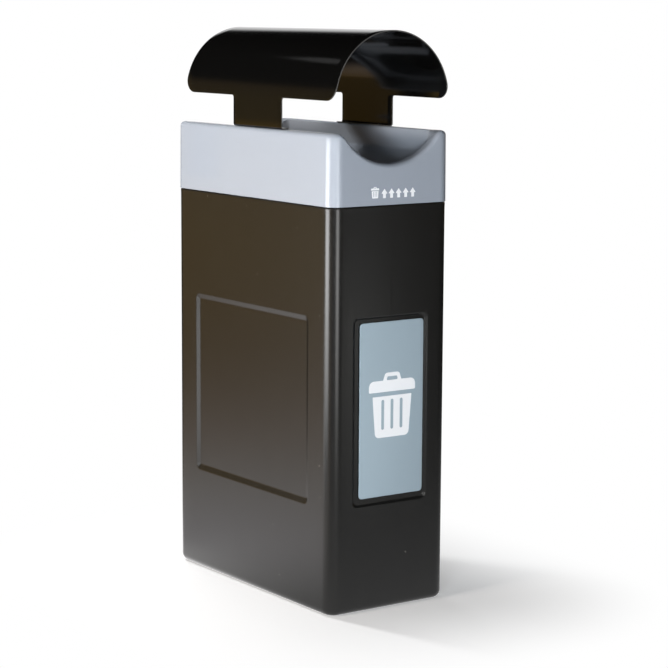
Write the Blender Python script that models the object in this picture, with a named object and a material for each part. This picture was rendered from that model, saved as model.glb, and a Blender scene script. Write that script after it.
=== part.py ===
# Commercial trash can with a hinged hopper lid under a rolled rain canopy.
# Metres, +Z up, origin in the middle of the base, front end towards -Y.

import math

import bmesh
import bpy
from mathutils import Matrix, Vector

mm = 0.001
degree = math.pi / 180
quarter_turn = 90 * degree
smooth_angle = 32 * degree
corner_steps = 5
small_corner_steps = 3
round_steps = 14
head_steps = 3

# Gap kept between pieces that rest on each other, and overrun of every cut
seat_gap = 0.3 * mm
overrun = 10 * mm
fold_tolerance = 0.0003 * mm

# Housing
body_width = 311.15 * mm
body_length = 622.3 * mm
body_height = 875.3 * mm
corner_radius = 29 * mm
least_radius = 1 * mm
base_fillet = 17 * mm
base_steps = 4
body_wall = 4.5 * mm
floor_thickness = 7 * mm
floor_fillet = 12 * mm
edge_round = 1.5 * mm
collar_height = 25 * mm
collar_wall = 4 * mm
shoulder_depth = 7 * mm
shoulder_slope = 8 * mm
base_well_depth = 2.5 * mm
base_land = 34 * mm
base_bar = 60 * mm
base_well_corner = 18 * mm

# Panels pressed into the four faces
recess_depth = 4.5 * mm
recess_bevel = 13 * mm
recess_corner = 15 * mm
recess_bottom = 231 * mm
recess_height = 411 * mm
side_recess_length = 454 * mm
end_recess_width = 197 * mm
recess_shares = ((0, 0), (0.16, 0.1), (0.84, 0.9), (1, 1))
recess_growth_share = 0.3
half_share = 0.5

# Sign plate and its foam pads
sign_thickness = 2.5 * mm
sign_setback = 0.4 * mm
sign_clearance = 1.5 * mm
sign_end_clearance = 3 * mm
sign_shift = 3.6 * mm
sign_raise = 2.5 * mm
sign_corner = 8 * mm
pad_width = 120 * mm
pad_height = 30 * mm
pad_corner = 3 * mm
pad_spread_share = 0.35

# Lid skin: skirt, rim, funnel and chute
seam_gap = 1.6 * mm
lid_height = 151.8 * mm
lid_overhang = 1 * mm
lid_wall = 3.5 * mm
lid_taper = 1 * mm
collar_clearance = 2.2 * mm
rim_round = 10 * mm
rim_steps = 4
ledge_width = 13 * mm
rim_inner_round = 4 * mm
funnel_corner = 22 * mm
funnel_wall_fall = 42 * mm
ridge_fall = 46 * mm
ridge_run = 6 * mm
ridge_shares = ((0.25, 0), (1, 0.5))
funnel_run = 44 * mm
chute_fall = 84 * mm
chute_round = 4 * mm
chute_draft = 1 * mm
chute_corner = 45 * mm
chute_overlap = 6 * mm
end_stations = 20
station_spread = 60 * degree

# Scoop in each end of the rim
scoop_margin = 20 * mm
scoop_depth = 66.2 * mm
scoop_round = 20 * mm
scoop_wall_fall = 8 * mm
scoop_ridge_fall = 11 * mm
scoop_slope_fall = 14 * mm
scoop_foot_fall = 16.5 * mm
scoop_chute_fall = 22 * mm

# Liner and bag ring
rim_clearance = 2.5 * mm
liner_wall = 3 * mm
liner_drop = 9 * mm
liner_rim_width = 12 * mm
liner_rim_lip = 14 * mm
liner_draft = 8 * mm
liner_fillet = 14 * mm
liner_corner = 22 * mm
ring_bar_radius = 2.5 * mm
ring_steps = 8

# Canopy sheet
canopy_thickness = 2.5 * mm
canopy_inset = 8.275 * mm
leg_rise = 65.1 * mm
side_height = 2.6 * mm
canopy_length = 589 * mm
canopy_shift = 17 * mm
canopy_corner = 34 * mm
canopy_facets = 28
leg_width = 190 * mm
leg_fillet = 6 * mm
foot_bend = 5.5 * mm
foot_facets = 4
foot_depth = 20 * mm
foot_corner = 4 * mm

# Canopy screws and nuts
screw_radius = 2.5 * mm
screw_head_radius = 4.75 * mm
screw_head_height = 3 * mm
screw_head_edge = 0.5 * mm
screw_head_clearance = 0.5 * mm
screw_spread_share = 0.32
screw_tail = 2 * mm
nut_width = 8 * mm
nut_height = 4 * mm
nut_sides = 6
nut_steps = 3
nut_chamfer = 0.5 * mm

# Hinges at the back seam
hinge_inset = 65.575 * mm
leaf_width = 70 * mm
leaf_height = 46 * mm
leaf_thickness = 2.5 * mm
leaf_corner = 5 * mm
knuckle_radius = 4.2 * mm
knuckle_gap = 0.6 * mm
knuckle_clearance = 0.5 * mm
knuckle_length = 30 * mm
pin_radius = 1.95 * mm
pin_clearance = 0.35 * mm
pin_head_radius = 3.2 * mm
pin_head_length = 1.6 * mm
opening_angle = 100 * degree
stop_clearance = 0.25 * mm
tongue_thickness = 2.5 * mm
rivet_radius = 2.4 * mm
rivet_head_radius = 4.5 * mm
rivet_head_height = 2 * mm
rivet_head_edge = 0.4 * mm
rivet_tail_radius = 3.8 * mm
rivet_tail_length = 3 * mm
rivet_spread_share = 0.33
rivet_height_share = 0.7

# Worked out from the sizes above
lid_half_width = body_width / 2 + lid_overhang
lid_half_length = body_length / 2 + lid_overhang
lid_bottom = body_height + seam_gap
rim_top = lid_bottom + lid_height
collar_inset = lid_wall - lid_overhang + collar_clearance
collar_inner = collar_inset + collar_wall
collar_top = body_height + collar_height
ledge_start = lid_taper + rim_round
ledge_end = ledge_start + ledge_width
funnel_inset = ledge_end + rim_inner_round
chute_inset = funnel_inset + funnel_run
liner_top = body_height - liner_drop
liner_inset = collar_inner + rim_clearance
liner_wall_inset = liner_inset + liner_rim_width
liner_base = floor_thickness + seat_gap
chute_bottom = liner_top - chute_overlap
scoop_reach = lid_half_width - scoop_margin
scoop_radius = (scoop_reach**2 + scoop_depth**2 - 2 * scoop_round * scoop_depth) / (2 * scoop_depth)
canopy_radius = lid_half_width - canopy_inset
springline = rim_top + leg_rise
foot_centre = rim_top + seat_gap + foot_bend
arc_run = canopy_radius * quarter_turn
leg_run = springline - foot_centre
bend_run = foot_bend * quarter_turn
foot_run = foot_depth - foot_bend
screw_x = canopy_radius - foot_bend - screw_head_radius - screw_head_clearance
hinge_spread = body_width / 2 - hinge_inset
axis_y = lid_half_length + knuckle_gap + knuckle_radius
axis_z = body_height + seam_gap / 2
body_leaf_y = body_length / 2 + seat_gap
lid_leaf_y = lid_half_length + seat_gap


# Mesh helpers

def stations(half_x, half_y, radius, end_steps=1):
    """Points round a rectangle with round corners, each with how squarely it faces an end."""
    radius = max(radius, least_radius)
    found = []
    signs = ((1, -1), (1, 1), (-1, 1), (-1, -1))
    centres = [Vector((x * (half_x - radius), y * (half_y - radius))) for x, y in signs]
    for corner, centre in enumerate(centres):
        for step in range(corner_steps + 1):
            angle = quarter_turn * (corner - 1 + step / corner_steps)
            outward = Vector((math.cos(angle), math.sin(angle)))
            found.append((centre + outward * radius, abs(outward.y)))
        runs_across = corner % 2 == 1
        after = centres[(corner + 1) % len(centres)]
        for step in range(1, end_steps if runs_across else 1):
            spread = math.sin(station_spread * (2 * step / end_steps - 1)) / math.sin(station_spread)
            share = (1 + spread) / 2
            found.append((centre.lerp(after, share) + outward * radius, 1))
    return found


def ring(half_x, half_y, radius, z):
    return [(point.x, point.y, z) for point, _ in stations(half_x, half_y, radius)]


def loft(rings, ends="capped"):
    """Skin over rings of equal count. Its ends are capped, joined to each other or left open."""
    bm = bmesh.new()
    rows = [[bm.verts.new(point) for point in row] for row in rings]
    pairs = list(zip(rows, rows[1:]))
    if ends == "joined":
        pairs.append((rows[-1], rows[0]))
    for lower, upper in pairs:
        for i, here in enumerate(lower):
            after = (i + 1) % len(lower)
            bm.faces.new((here, lower[after], upper[after], upper[i]))
    if ends == "capped":
        bm.faces.new(reversed(rows[0]))
        bm.faces.new(rows[-1])
    return bm


def turned(profile, steps=round_steps):
    """Closed solid turned round Z from (radius, height) points, lowest first."""
    angles = [4 * quarter_turn * step / steps for step in range(steps)]
    return loft([[(r * math.cos(a), r * math.sin(a), z) for a in angles] for r, z in profile])


def dome(radius, height, start, steps=head_steps):
    """Profile of a domed head that rises from this height."""
    angles = [quarter_turn * step / steps for step in range(steps)]
    return [(radius * math.cos(a), start + height * math.sin(a)) for a in angles]


def rounded_outline(corners, steps=small_corner_steps):
    """Polygon of (x, y, radius) corners with each corner rounded."""
    found = []
    for before, here, after in zip(corners[-1:] + corners[:-1], corners, corners[1:] + corners[:1]):
        point, radius = Vector(here[:2]), here[2]
        if not radius:
            found.append(point)
            continue
        back = (Vector(before[:2]) - point).normalized()
        ahead = (Vector(after[:2]) - point).normalized()
        half_angle = back.angle(ahead) / 2
        centre = point + (back + ahead).normalized() * radius / math.sin(half_angle)
        start = point + back * radius / math.tan(half_angle) - centre
        end = point + ahead * radius / math.tan(half_angle) - centre
        first = math.atan2(start.y, start.x)
        turn = math.remainder(math.atan2(end.y, end.x) - first, 4 * quarter_turn)
        for step in range(steps + 1):
            angle = first + turn * step / steps
            found.append(centre + Vector((math.cos(angle), math.sin(angle))) * radius)
    return found


def rectangle(width, height, radius):
    x, y = width / 2, height / 2
    return rounded_outline([(x, -y, radius), (x, y, radius), (-x, y, radius), (-x, -y, radius)])


def plate(outline, thickness):
    """Flat plate on the XY plane, from z = 0 up."""
    return loft([[(p.x, p.y, z) for p in outline] for z in (0, thickness)])


def facing(turn, x, y, z):
    """Stands a shape drawn on XY upright, +Z outwards to the front, then turns it round the object."""
    upright = Matrix.Rotation(quarter_turn, 4, "X")
    return Matrix.Translation((x, y, z)) @ Matrix.Rotation(turn * quarter_turn, 4, "Z") @ upright


def moved(bm, matrix):
    bmesh.ops.transform(bm, matrix=matrix, verts=bm.verts)
    return bm


def joined(parts):
    """One bmesh that holds all of these."""
    whole = bmesh.new()
    for part in parts:
        held = bpy.data.meshes.new("held")
        part.to_mesh(held)
        whole.from_mesh(held)
        bpy.data.meshes.remove(held)
        part.free()
    return whole


def mesh_of(name, bm, recalculate=True):
    mesh = bpy.data.meshes.new(name)
    if recalculate:
        bmesh.ops.recalc_face_normals(bm, faces=bm.faces)
    bm.to_mesh(mesh)
    bm.free()
    mesh.shade_smooth()
    mesh.set_sharp_from_angle(angle=smooth_angle)
    return mesh


def material(name, colour, roughness, metallic=0):
    look = bpy.data.materials.new(name)
    look.use_nodes = True
    shader = look.node_tree.nodes["Principled BSDF"]
    shader.inputs["Base Color"].default_value = (*colour, 1)
    shader.inputs["Roughness"].default_value = roughness
    shader.inputs["Metallic"].default_value = metallic
    look.diffuse_color = (*colour, 1)
    return look


def add(name, mesh, look, location=(0, 0, 0), matrix=None, pivot=None):
    """Puts a piece in the scene, hung on the pivot if it moves."""
    piece = bpy.data.objects.new(name, mesh)
    bpy.context.collection.objects.link(piece)
    if not mesh.materials:
        mesh.materials.append(look)
    piece.matrix_world = matrix or Matrix.Translation(location)
    if pivot:
        piece.parent = pivot
        piece.matrix_parent_inverse = Matrix.Translation(pivot.location).inverted()
    return piece


def combine(piece, operation, bm):
    """Joins a hidden shape to a piece, or cuts it out of it."""
    helper = bpy.data.objects.new(f"{piece.name}.{operation.lower()}", mesh_of("helper", bm))
    bpy.context.collection.objects.link(helper)
    helper.hide_render = True
    helper.display_type = "WIRE"
    change = piece.modifiers.new(operation.lower(), "BOOLEAN")
    change.operation = operation
    change.solver = "EXACT"
    change.object = helper


def drill(radius, x, y, z):
    """Round cutter along Y through a wall at this place."""
    return moved(turned([(radius, -overrun), (radius, overrun)]), facing(0, x, y, z))


def screw_bores():
    """Round cutters down through the feet and the ledge under them."""
    bore = screw_radius + seat_gap
    return [
        moved(turned([(bore, -overrun), (bore, overrun)]), Matrix.Translation((x, y, rim_top)))
        for x, y in screw_places()
    ]


def hinge_sides():
    return (("left", -hinge_spread), ("right", hinge_spread))


def rivet_places(direction):
    """Rivets of the leaves on one side of the seam: up for the lid, down for the housing."""
    height = axis_z + direction * leaf_height * rivet_height_share
    spread = leaf_width * rivet_spread_share
    return [(x + side * spread, height) for _, x in hinge_sides() for side in (-1, 1)]


def screw_places():
    """Canopy screws: two through each foot."""
    spread = leg_width * screw_spread_share
    return [(x * screw_x, -canopy_shift + y * spread) for x in (-1, 1) for y in (-1, 1)]


# Housing

def recess_levels(width, grow):
    """Rings of a pressed panel, deepest first, as a cutter, or grown by the wall as the bulge inside it."""
    rings = []
    for bevel_share, depth_share in reversed(recess_shares):
        inset = bevel_share * recess_bevel - grow * recess_growth_share
        depth = depth_share * recess_depth + grow
        rings.append((inset, -depth))
    top_inset = -grow * recess_growth_share
    rings.append((top_inset, -grow * half_share if grow else overrun))
    levels = []
    for inset, z in rings:
        corner = max(recess_corner - inset, least_radius)
        outline = rectangle(width - 2 * inset, recess_height - 2 * inset, corner)
        levels.append([(point.x, point.y, z) for point in outline])
    return levels


def recesses(grow=0):
    faces = (
        (0, end_recess_width, 0, -body_length / 2),
        (1, side_recess_length, body_width / 2, 0),
        (2, end_recess_width, 0, body_length / 2),
        (3, side_recess_length, -body_width / 2, 0),
    )
    return [
        moved(loft(recess_levels(width, grow)), facing(turn, x, y, recess_bottom + recess_height / 2))
        for turn, width, x, y in faces
    ]


def base_wells():
    """Two shallow wells under the base, either side of a flat bar."""
    width = body_width - 2 * base_land
    length = body_length / 2 - base_land - base_bar / 2
    middle = base_bar / 2 + length / 2
    wells = []
    for side in (-1, 1):
        outline = [p + Vector((0, side * middle)) for p in rectangle(width, length, base_well_corner)]
        rows = [[(p.x, p.y, z) for p in outline] for z in (-overrun, base_well_depth)]
        wells.append(loft(rows))
    return wells


def build_body_shell(look):
    def level(inset, z):
        return ring(body_width / 2 - inset, body_length / 2 - inset, corner_radius - inset, z)

    rings = []
    for step in range(base_steps + 1):
        angle = quarter_turn * step / base_steps
        rings.append(level(base_fillet * (1 - math.sin(angle)), base_fillet * (1 - math.cos(angle))))
    rings += [
        level(0, body_height - edge_round),
        level(edge_round, body_height),
        level(collar_inset, body_height),
        level(collar_inset, collar_top - edge_round),
        level(collar_inset + edge_round, collar_top),
        level(collar_inner, collar_top),
        level(collar_inner, body_height - shoulder_depth),
        level(body_wall, body_height - shoulder_depth - shoulder_slope),
    ]
    for step in range(base_steps + 1):
        angle = quarter_turn * step / base_steps
        inset = body_wall + floor_fillet * (1 - math.cos(angle))
        rings.append(level(inset, floor_thickness + floor_fillet * (1 - math.sin(angle))))
    shell = add("body_shell", mesh_of("body_shell", loft(rings)), look)
    combine(shell, "UNION", joined(recesses(body_wall)))
    holes = [drill(rivet_radius + seat_gap, x, body_length / 2, z) for x, z in rivet_places(-1)]
    combine(shell, "DIFFERENCE", joined(recesses() + base_wells() + holes))
    return shell


# Sign

def build_sign(plate_look, foam_look):
    width = end_recess_width - 2 * (recess_bevel + sign_clearance)
    height = recess_height - 2 * (recess_bevel + sign_end_clearance)
    middle = recess_bottom + recess_height / 2 + sign_raise
    face = -body_length / 2 + sign_setback
    back = face + sign_thickness
    sign = plate(rectangle(width, height, sign_corner), sign_thickness)
    add("sign_plate", mesh_of("sign_plate", sign), plate_look, matrix=facing(0, sign_shift, back, middle))
    floor = -body_length / 2 + recess_depth
    pad = plate(rectangle(pad_width, pad_height, pad_corner), floor - back - 2 * seat_gap)
    pad_mesh = mesh_of("sign_pad", pad)
    for name, side in (("upper", 1), ("lower", -1)):
        z = middle + side * height * pad_spread_share
        add(f"sign_pad_{name}", pad_mesh, foam_look, matrix=facing(0, sign_shift, floor - seat_gap, z))


# Liner and bag ring

def build_inner_liner(look):
    def level(inset, z, radius=liner_corner):
        fall = (liner_top - z) / (liner_top - liner_base)
        inset += liner_draft * fall
        return ring(body_width / 2 - inset, body_length / 2 - inset, radius, z)

    inner = liner_wall_inset + liner_wall
    rings = []
    for step in range(base_steps + 1):
        angle = quarter_turn * step / base_steps
        inset = liner_wall_inset + liner_fillet * (1 - math.sin(angle))
        z = liner_base + liner_fillet * (1 - math.cos(angle))
        rings.append(level(inset, z, liner_corner + liner_wall_inset - inset))
    rings += [
        level(liner_wall_inset, liner_top - liner_wall),
        level(liner_inset + liner_wall, liner_top - liner_wall),
        level(liner_inset + liner_wall, liner_top - liner_rim_lip),
        level(liner_inset, liner_top - liner_rim_lip),
        level(liner_inset, liner_top - edge_round),
        level(liner_inset + edge_round, liner_top),
        level(inner - edge_round, liner_top),
        level(inner, liner_top - edge_round),
    ]
    inner_fillet = liner_fillet - liner_wall
    for step in range(base_steps + 1):
        angle = quarter_turn * step / base_steps
        inset = inner + inner_fillet * (1 - math.cos(angle))
        z = liner_base + liner_wall + inner_fillet * (1 - math.sin(angle))
        rings.append(level(inset, z, liner_corner + inner - liner_wall - inset))
    return add("inner_liner", mesh_of("inner_liner", loft(rings)), look)


def build_bag_ring(look):
    middle = liner_inset + liner_rim_width / 2 + ring_bar_radius
    height = liner_top + seat_gap + ring_bar_radius
    rings = []
    for step in range(ring_steps):
        angle = 4 * quarter_turn * (step + half_share) / ring_steps
        inset = middle - ring_bar_radius * math.cos(angle)
        radius = liner_corner + ring_bar_radius * math.cos(angle)
        z = height + ring_bar_radius * math.sin(angle)
        rings.append(ring(body_width / 2 - inset, body_length / 2 - inset, radius, z))
    return add("bag_ring", mesh_of("bag_ring", loft(rings, ends="joined")), look)


# Lid

def scoop_fall(x):
    """How far the rim of an end falls at this distance from its middle."""
    x = abs(x)
    centre = scoop_radius - scoop_depth
    if x >= scoop_reach:
        return 0
    if x > scoop_reach * scoop_radius / (scoop_radius + scoop_round):
        return scoop_round - math.sqrt(scoop_round**2 - (scoop_reach - x) ** 2)
    return math.sqrt(scoop_radius**2 - x**2) - centre


def lid_profile():
    """The skin from skirt to chute: inset, height, corner radius, least fall under a scoop."""
    def outer(inset, z, fall):
        return inset, z, corner_radius - inset, fall

    levels = [
        outer(0, lid_bottom, rim_top - lid_bottom),
        outer(lid_taper, rim_top - rim_round, rim_round),
    ]
    for step in range(1, rim_steps + 1):
        angle = quarter_turn * step / rim_steps
        fall = rim_round * (1 - math.sin(angle))
        levels.append(outer(lid_taper + rim_round * (1 - math.cos(angle)), rim_top - fall, fall))
    levels.append((ledge_end, rim_top, funnel_corner + rim_inner_round, 0))
    for step in (1, 2):
        angle = quarter_turn * step / 2
        fall = rim_inner_round * (1 - math.cos(angle))
        inset = ledge_end + rim_inner_round * math.sin(angle)
        levels.append((inset, rim_top - fall, funnel_corner + funnel_inset - inset, fall))
    levels.append((funnel_inset, rim_top - funnel_wall_fall, funnel_corner, scoop_wall_fall))
    for (across, down), fall in zip(ridge_shares, (scoop_ridge_fall, scoop_slope_fall)):
        z = rim_top - ridge_fall - ridge_run * down
        levels.append((funnel_inset + ridge_run * across, z, funnel_corner, fall))
    return levels + [
        (chute_inset - chute_round, rim_top - chute_fall + chute_round, chute_corner, scoop_foot_fall),
        (chute_inset, rim_top - chute_fall, chute_corner, scoop_chute_fall),
        (chute_inset + chute_draft, chute_bottom, chute_corner, 0),
    ]


def lid_level(inset, z, radius, least_fall):
    """One ring of the lid. Under a scoop it stays at least this far below the lowered rim."""
    found = []
    for point, faces_end in stations(
        lid_half_width - inset, lid_half_length - inset, radius, end_stations
    ):
        rim_here = rim_top - scoop_fall(point.x) * faces_end**2
        height = z if z in (lid_bottom, chute_bottom) else min(z, rim_here - least_fall)
        found.append((point.x, point.y, height))
    return found


def build_lid_hopper(look, pivot):
    skin = loft([lid_level(*level) for level in lid_profile()], ends="open")
    hopper = add("lid_hopper", mesh_of("lid_hopper", skin, recalculate=False), look, pivot=pivot)
    wall = hopper.modifiers.new("wall", "SOLIDIFY")
    wall.thickness = lid_wall
    wall.offset = -1
    wall.use_even_offset = True
    holes = [drill(rivet_radius + seat_gap, x, lid_half_length, z) for x, z in rivet_places(1)]
    combine(hopper, "DIFFERENCE", joined(holes + screw_bores()))
    return hopper


# Canopy

def folded(along, depth):
    """X and Z of a point of the sheet, from its distance along it from the crown and its depth in it."""
    side = math.copysign(1, along)
    left = abs(along)
    if left <= arc_run:
        angle = left / canopy_radius
        reach = canopy_radius - depth
        return side * reach * math.sin(angle), springline + reach * math.cos(angle)
    left -= arc_run
    if left <= leg_run:
        return side * (canopy_radius - depth), springline - left
    left -= leg_run
    bend_x = canopy_radius - foot_bend
    reach = foot_bend - depth
    if left <= bend_run:
        angle = left / foot_bend
        return side * (bend_x + reach * math.cos(angle)), foot_centre - reach * math.sin(angle)
    return side * (bend_x - left + bend_run), foot_centre - reach


def canopy_outline():
    """The flat sheet before it is rolled: the hood, with a leg and its foot on each side."""
    hood = arc_run - side_height
    foot = arc_run + leg_run + bend_run + foot_run
    front, back = -canopy_shift - canopy_length / 2, -canopy_shift + canopy_length / 2
    leg_front, leg_back = -canopy_shift - leg_width / 2, -canopy_shift + leg_width / 2
    right = [
        (hood, front, canopy_corner),
        (hood, leg_front, leg_fillet),
        (foot, leg_front, foot_corner),
        (foot, leg_back, foot_corner),
        (hood, leg_back, leg_fillet),
        (hood, back, canopy_corner),
    ]
    left = [(-x, y, radius) for x, y, radius in reversed(right)]
    return rounded_outline(right + left, corner_steps)


def fold_lines():
    rolled = [2 * arc_run * step / canopy_facets - arc_run for step in range(canopy_facets + 1)]
    bend = arc_run + leg_run
    bends = [bend + bend_run * step / foot_facets for step in range(foot_facets + 1)]
    return rolled + bends + [-line for line in bends]


def build_canopy(look, pivot):
    sheet = plate(canopy_outline(), canopy_thickness)
    for line in fold_lines():
        whole = sheet.verts[:] + sheet.edges[:] + sheet.faces[:]
        bmesh.ops.bisect_plane(
            sheet, geom=whole, plane_co=(line, 0, 0), plane_no=(1, 0, 0), dist=fold_tolerance
        )
    for vert in sheet.verts:
        x, z = folded(vert.co.x, canopy_thickness - vert.co.z)
        vert.co = (x, vert.co.y, z)
    canopy = add("canopy", mesh_of("canopy", sheet), look, pivot=pivot)
    combine(canopy, "DIFFERENCE", joined(screw_bores()))
    return canopy


def build_canopy_fixings(look, pivot):
    foot_top = rim_top + seat_gap + canopy_thickness
    ledge_under = rim_top - lid_wall - seat_gap
    shank_end = ledge_under - nut_height - screw_tail
    head = foot_top + seat_gap
    profile = [(screw_radius, shank_end), (screw_radius, head), (screw_head_radius, head)]
    profile += dome(screw_head_radius, screw_head_height, head + screw_head_edge)
    screw = mesh_of("canopy_screw", turned([(r, z - rim_top) for r, z in profile]))
    nut = build_nut()
    for number, (x, y) in enumerate(screw_places(), 1):
        add(f"canopy_screw_{number}", screw, look, (x, y, rim_top), pivot=pivot)
        add(f"canopy_nut_{number}", nut, look, (x, y, ledge_under), pivot=pivot)


def build_nut():
    """Hexagon nut that hangs below z = 0, with a round bore."""
    corner = nut_width / 2 / math.cos(2 * quarter_turn / nut_sides)
    bore = screw_radius + seat_gap
    rows = [(corner, -nut_height), (corner, -nut_chamfer), (corner - nut_chamfer, 0)]
    rows += [(bore, 0), (bore, -nut_height)]
    half_side = 2 * quarter_turn / nut_sides
    rings = []
    for radius, z in rows:
        row = []
        for step in range(nut_sides * nut_steps):
            angle = 2 * half_side * step / nut_steps
            past_flat = half_side - abs(math.remainder(angle, 2 * half_side))
            reach = radius if radius == bore else radius * math.cos(half_side) / math.cos(past_flat)
            row.append((reach * math.cos(angle), reach * math.sin(angle), z))
        rings.append(row)
    return mesh_of("canopy_nut", loft(rings, ends="joined"))


# Hinges

def knuckle(start, end, radius):
    """Round bar along X about the hinge axis."""
    bar = turned([(radius, start), (radius, end)])
    return moved(bar, Matrix.Rotation(quarter_turn, 4, "Y"))


def leaf(outline, leaf_y):
    """Plate of a hinge leaf drawn on X and Z about the hinge axis."""
    return moved(plate(outline, leaf_thickness), facing(0, 0, leaf_y - axis_y + leaf_thickness, 0))


def rivet_holes(direction):
    height = direction * leaf_height * rivet_height_share
    spread = leaf_width * rivet_spread_share
    return [drill(rivet_radius + seat_gap, side * spread, 0, height) for side in (-1, 1)]


def build_body_leaf(name, x, look):
    half, middle = leaf_width / 2, knuckle_length / 2 + seat_gap
    notch = knuckle_radius + knuckle_clearance
    outline = rounded_outline([
        (-half, -leaf_height, leaf_corner), (half, -leaf_height, leaf_corner), (half, 0, 0), (middle, 0, 0),
        (middle, -notch, 0), (-middle, -notch, 0), (-middle, 0, 0), (-half, 0, 0),
    ])
    piece = add(name, mesh_of("body_leaf", leaf(outline, body_leaf_y)), look, (x, axis_y, axis_z))
    ends = joined([knuckle(-half, -middle, knuckle_radius), knuckle(middle, half, knuckle_radius)])
    cuts = joined([knuckle(-half - overrun, half + overrun, pin_radius + pin_clearance)] + rivet_holes(-1))
    place = Matrix.Translation((x, axis_y, axis_z))
    combine(piece, "UNION", moved(ends, place))
    combine(piece, "DIFFERENCE", moved(cuts, place))


def stop_tongue():
    """Tongue on the lid's knuckle that meets the housing's leaf just past the full opening."""
    past_square = opening_angle - quarter_turn
    face = axis_y - body_leaf_y - leaf_thickness - stop_clearance
    length = (face - tongue_thickness / 2 * math.cos(past_square)) / math.sin(past_square)
    half = knuckle_length / 2 - seat_gap
    outline = rounded_outline([(-half, 0, 0), (half, 0, 0), (half, length, 0), (-half, length, 0)])
    return moved(plate(outline, tongue_thickness), Matrix.Translation((0, 0, -tongue_thickness / 2)))


def build_lid_leaf(name, x, look, pivot):
    half, middle = leaf_width / 2, knuckle_length / 2
    notch = knuckle_radius + knuckle_clearance
    outline = rounded_outline([
        (-half, notch, 0), (-middle, notch, 0), (-middle, 0, 0), (middle, 0, 0), (middle, notch, 0),
        (half, notch, 0), (half, leaf_height, leaf_corner), (-half, leaf_height, leaf_corner),
    ])
    piece = add(name, mesh_of("lid_leaf", leaf(outline, lid_leaf_y)), look, (x, axis_y, axis_z), pivot=pivot)
    place = Matrix.Translation((x, axis_y, axis_z))
    combine(piece, "UNION", moved(knuckle(-middle, middle, knuckle_radius), place))
    combine(piece, "UNION", moved(stop_tongue(), place))
    cuts = joined([knuckle(-half - overrun, half + overrun, pin_radius + pin_clearance)] + rivet_holes(1))
    combine(piece, "DIFFERENCE", moved(cuts, place))


def build_hinges(look, pivot):
    half = leaf_width / 2 + seat_gap
    profile = [
        (pin_head_radius, -half - pin_head_length),
        (pin_head_radius, -half),
        (pin_radius, -half),
        (pin_radius, half),
        (pin_head_radius, half),
        (pin_head_radius, half + pin_head_length),
    ]
    pin = mesh_of("hinge_pin", moved(turned(profile), Matrix.Rotation(quarter_turn, 4, "Y")))
    for side, x in hinge_sides():
        build_body_leaf(f"hinge_leaf_body_{side}", x, look)
        build_lid_leaf(f"hinge_leaf_lid_{side}", x, look, pivot)
        add(f"hinge_pin_{side}", pin, look, (x, axis_y, axis_z))
    build_rivets("body", rivet_places(-1), body_leaf_y, body_wall, look, None)
    build_rivets("lid", rivet_places(1), lid_leaf_y, lid_wall + seat_gap, look, pivot)


def build_rivets(owner, places, leaf_y, wall, look, pivot):
    """Blind rivets through a leaf and the wall behind it, domed outside and upset inside."""
    head = seat_gap + leaf_thickness
    tail = -seat_gap * 2 - wall
    profile = [
        (rivet_radius, tail - rivet_tail_length),
        (rivet_tail_radius, tail - rivet_tail_length / 2),
        (rivet_tail_radius, tail),
        (rivet_radius, tail),
        (rivet_radius, head),
        (rivet_head_radius, head),
    ]
    profile += dome(rivet_head_radius, rivet_head_height, head + rivet_head_edge)
    mesh = mesh_of(f"{owner}_rivet", turned(profile))
    for number, (x, z) in enumerate(places, 1):
        add(f"{owner}_rivet_{number}", mesh, look, matrix=facing(2, x, leaf_y, z), pivot=pivot)


def build():
    for leftover in list(bpy.data.objects):
        bpy.data.objects.remove(leftover)
    black_plastic = material("black plastic", (0.018, 0.017, 0.016), 0.38)
    grey_plastic = material("grey plastic", (0.42, 0.45, 0.49), 0.3)
    canopy_sheet = material("canopy sheet", (0.008, 0.008, 0.008), 0.2)
    sign_look = material("sign plate", (0.31, 0.39, 0.45), 0.45)
    foam = material("foam", (0.05, 0.05, 0.05), 0.9)
    liner_look = material("liner plastic", (0.06, 0.06, 0.065), 0.5)
    steel = material("steel", (0.55, 0.55, 0.56), 0.35, 1)
    black_steel = material("black steel", (0.02, 0.02, 0.02), 0.4, 0.6)

    pivot = bpy.data.objects.new("lid_pivot", None)
    bpy.context.collection.objects.link(pivot)
    pivot.location = (0, axis_y, axis_z)

    build_body_shell(black_plastic)
    build_sign(sign_look, foam)
    build_inner_liner(liner_look)
    build_bag_ring(steel)
    build_lid_hopper(grey_plastic, pivot)
    build_canopy(canopy_sheet, pivot)
    build_canopy_fixings(black_steel, pivot)
    build_hinges(black_steel, pivot)


build()
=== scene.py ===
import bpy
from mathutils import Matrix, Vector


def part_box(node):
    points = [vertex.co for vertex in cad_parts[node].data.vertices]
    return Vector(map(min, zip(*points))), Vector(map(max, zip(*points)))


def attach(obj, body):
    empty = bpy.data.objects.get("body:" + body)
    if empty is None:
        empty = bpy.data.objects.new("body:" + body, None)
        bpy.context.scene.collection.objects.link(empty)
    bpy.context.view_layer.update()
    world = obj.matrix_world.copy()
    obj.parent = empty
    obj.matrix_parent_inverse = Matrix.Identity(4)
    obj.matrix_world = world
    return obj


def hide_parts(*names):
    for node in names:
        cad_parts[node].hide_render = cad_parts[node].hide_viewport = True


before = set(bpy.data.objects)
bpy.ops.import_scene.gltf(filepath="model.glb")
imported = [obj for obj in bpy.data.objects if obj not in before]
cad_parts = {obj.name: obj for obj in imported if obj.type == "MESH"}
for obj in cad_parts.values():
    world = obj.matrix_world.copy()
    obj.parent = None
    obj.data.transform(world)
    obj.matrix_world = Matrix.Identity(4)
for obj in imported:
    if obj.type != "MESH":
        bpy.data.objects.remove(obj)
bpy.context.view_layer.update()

import math

import bmesh
import bpy
from mathutils import Matrix, Vector

mm = 0.001
rightAngle = math.pi / 2
tiny = 1e-6

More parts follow.
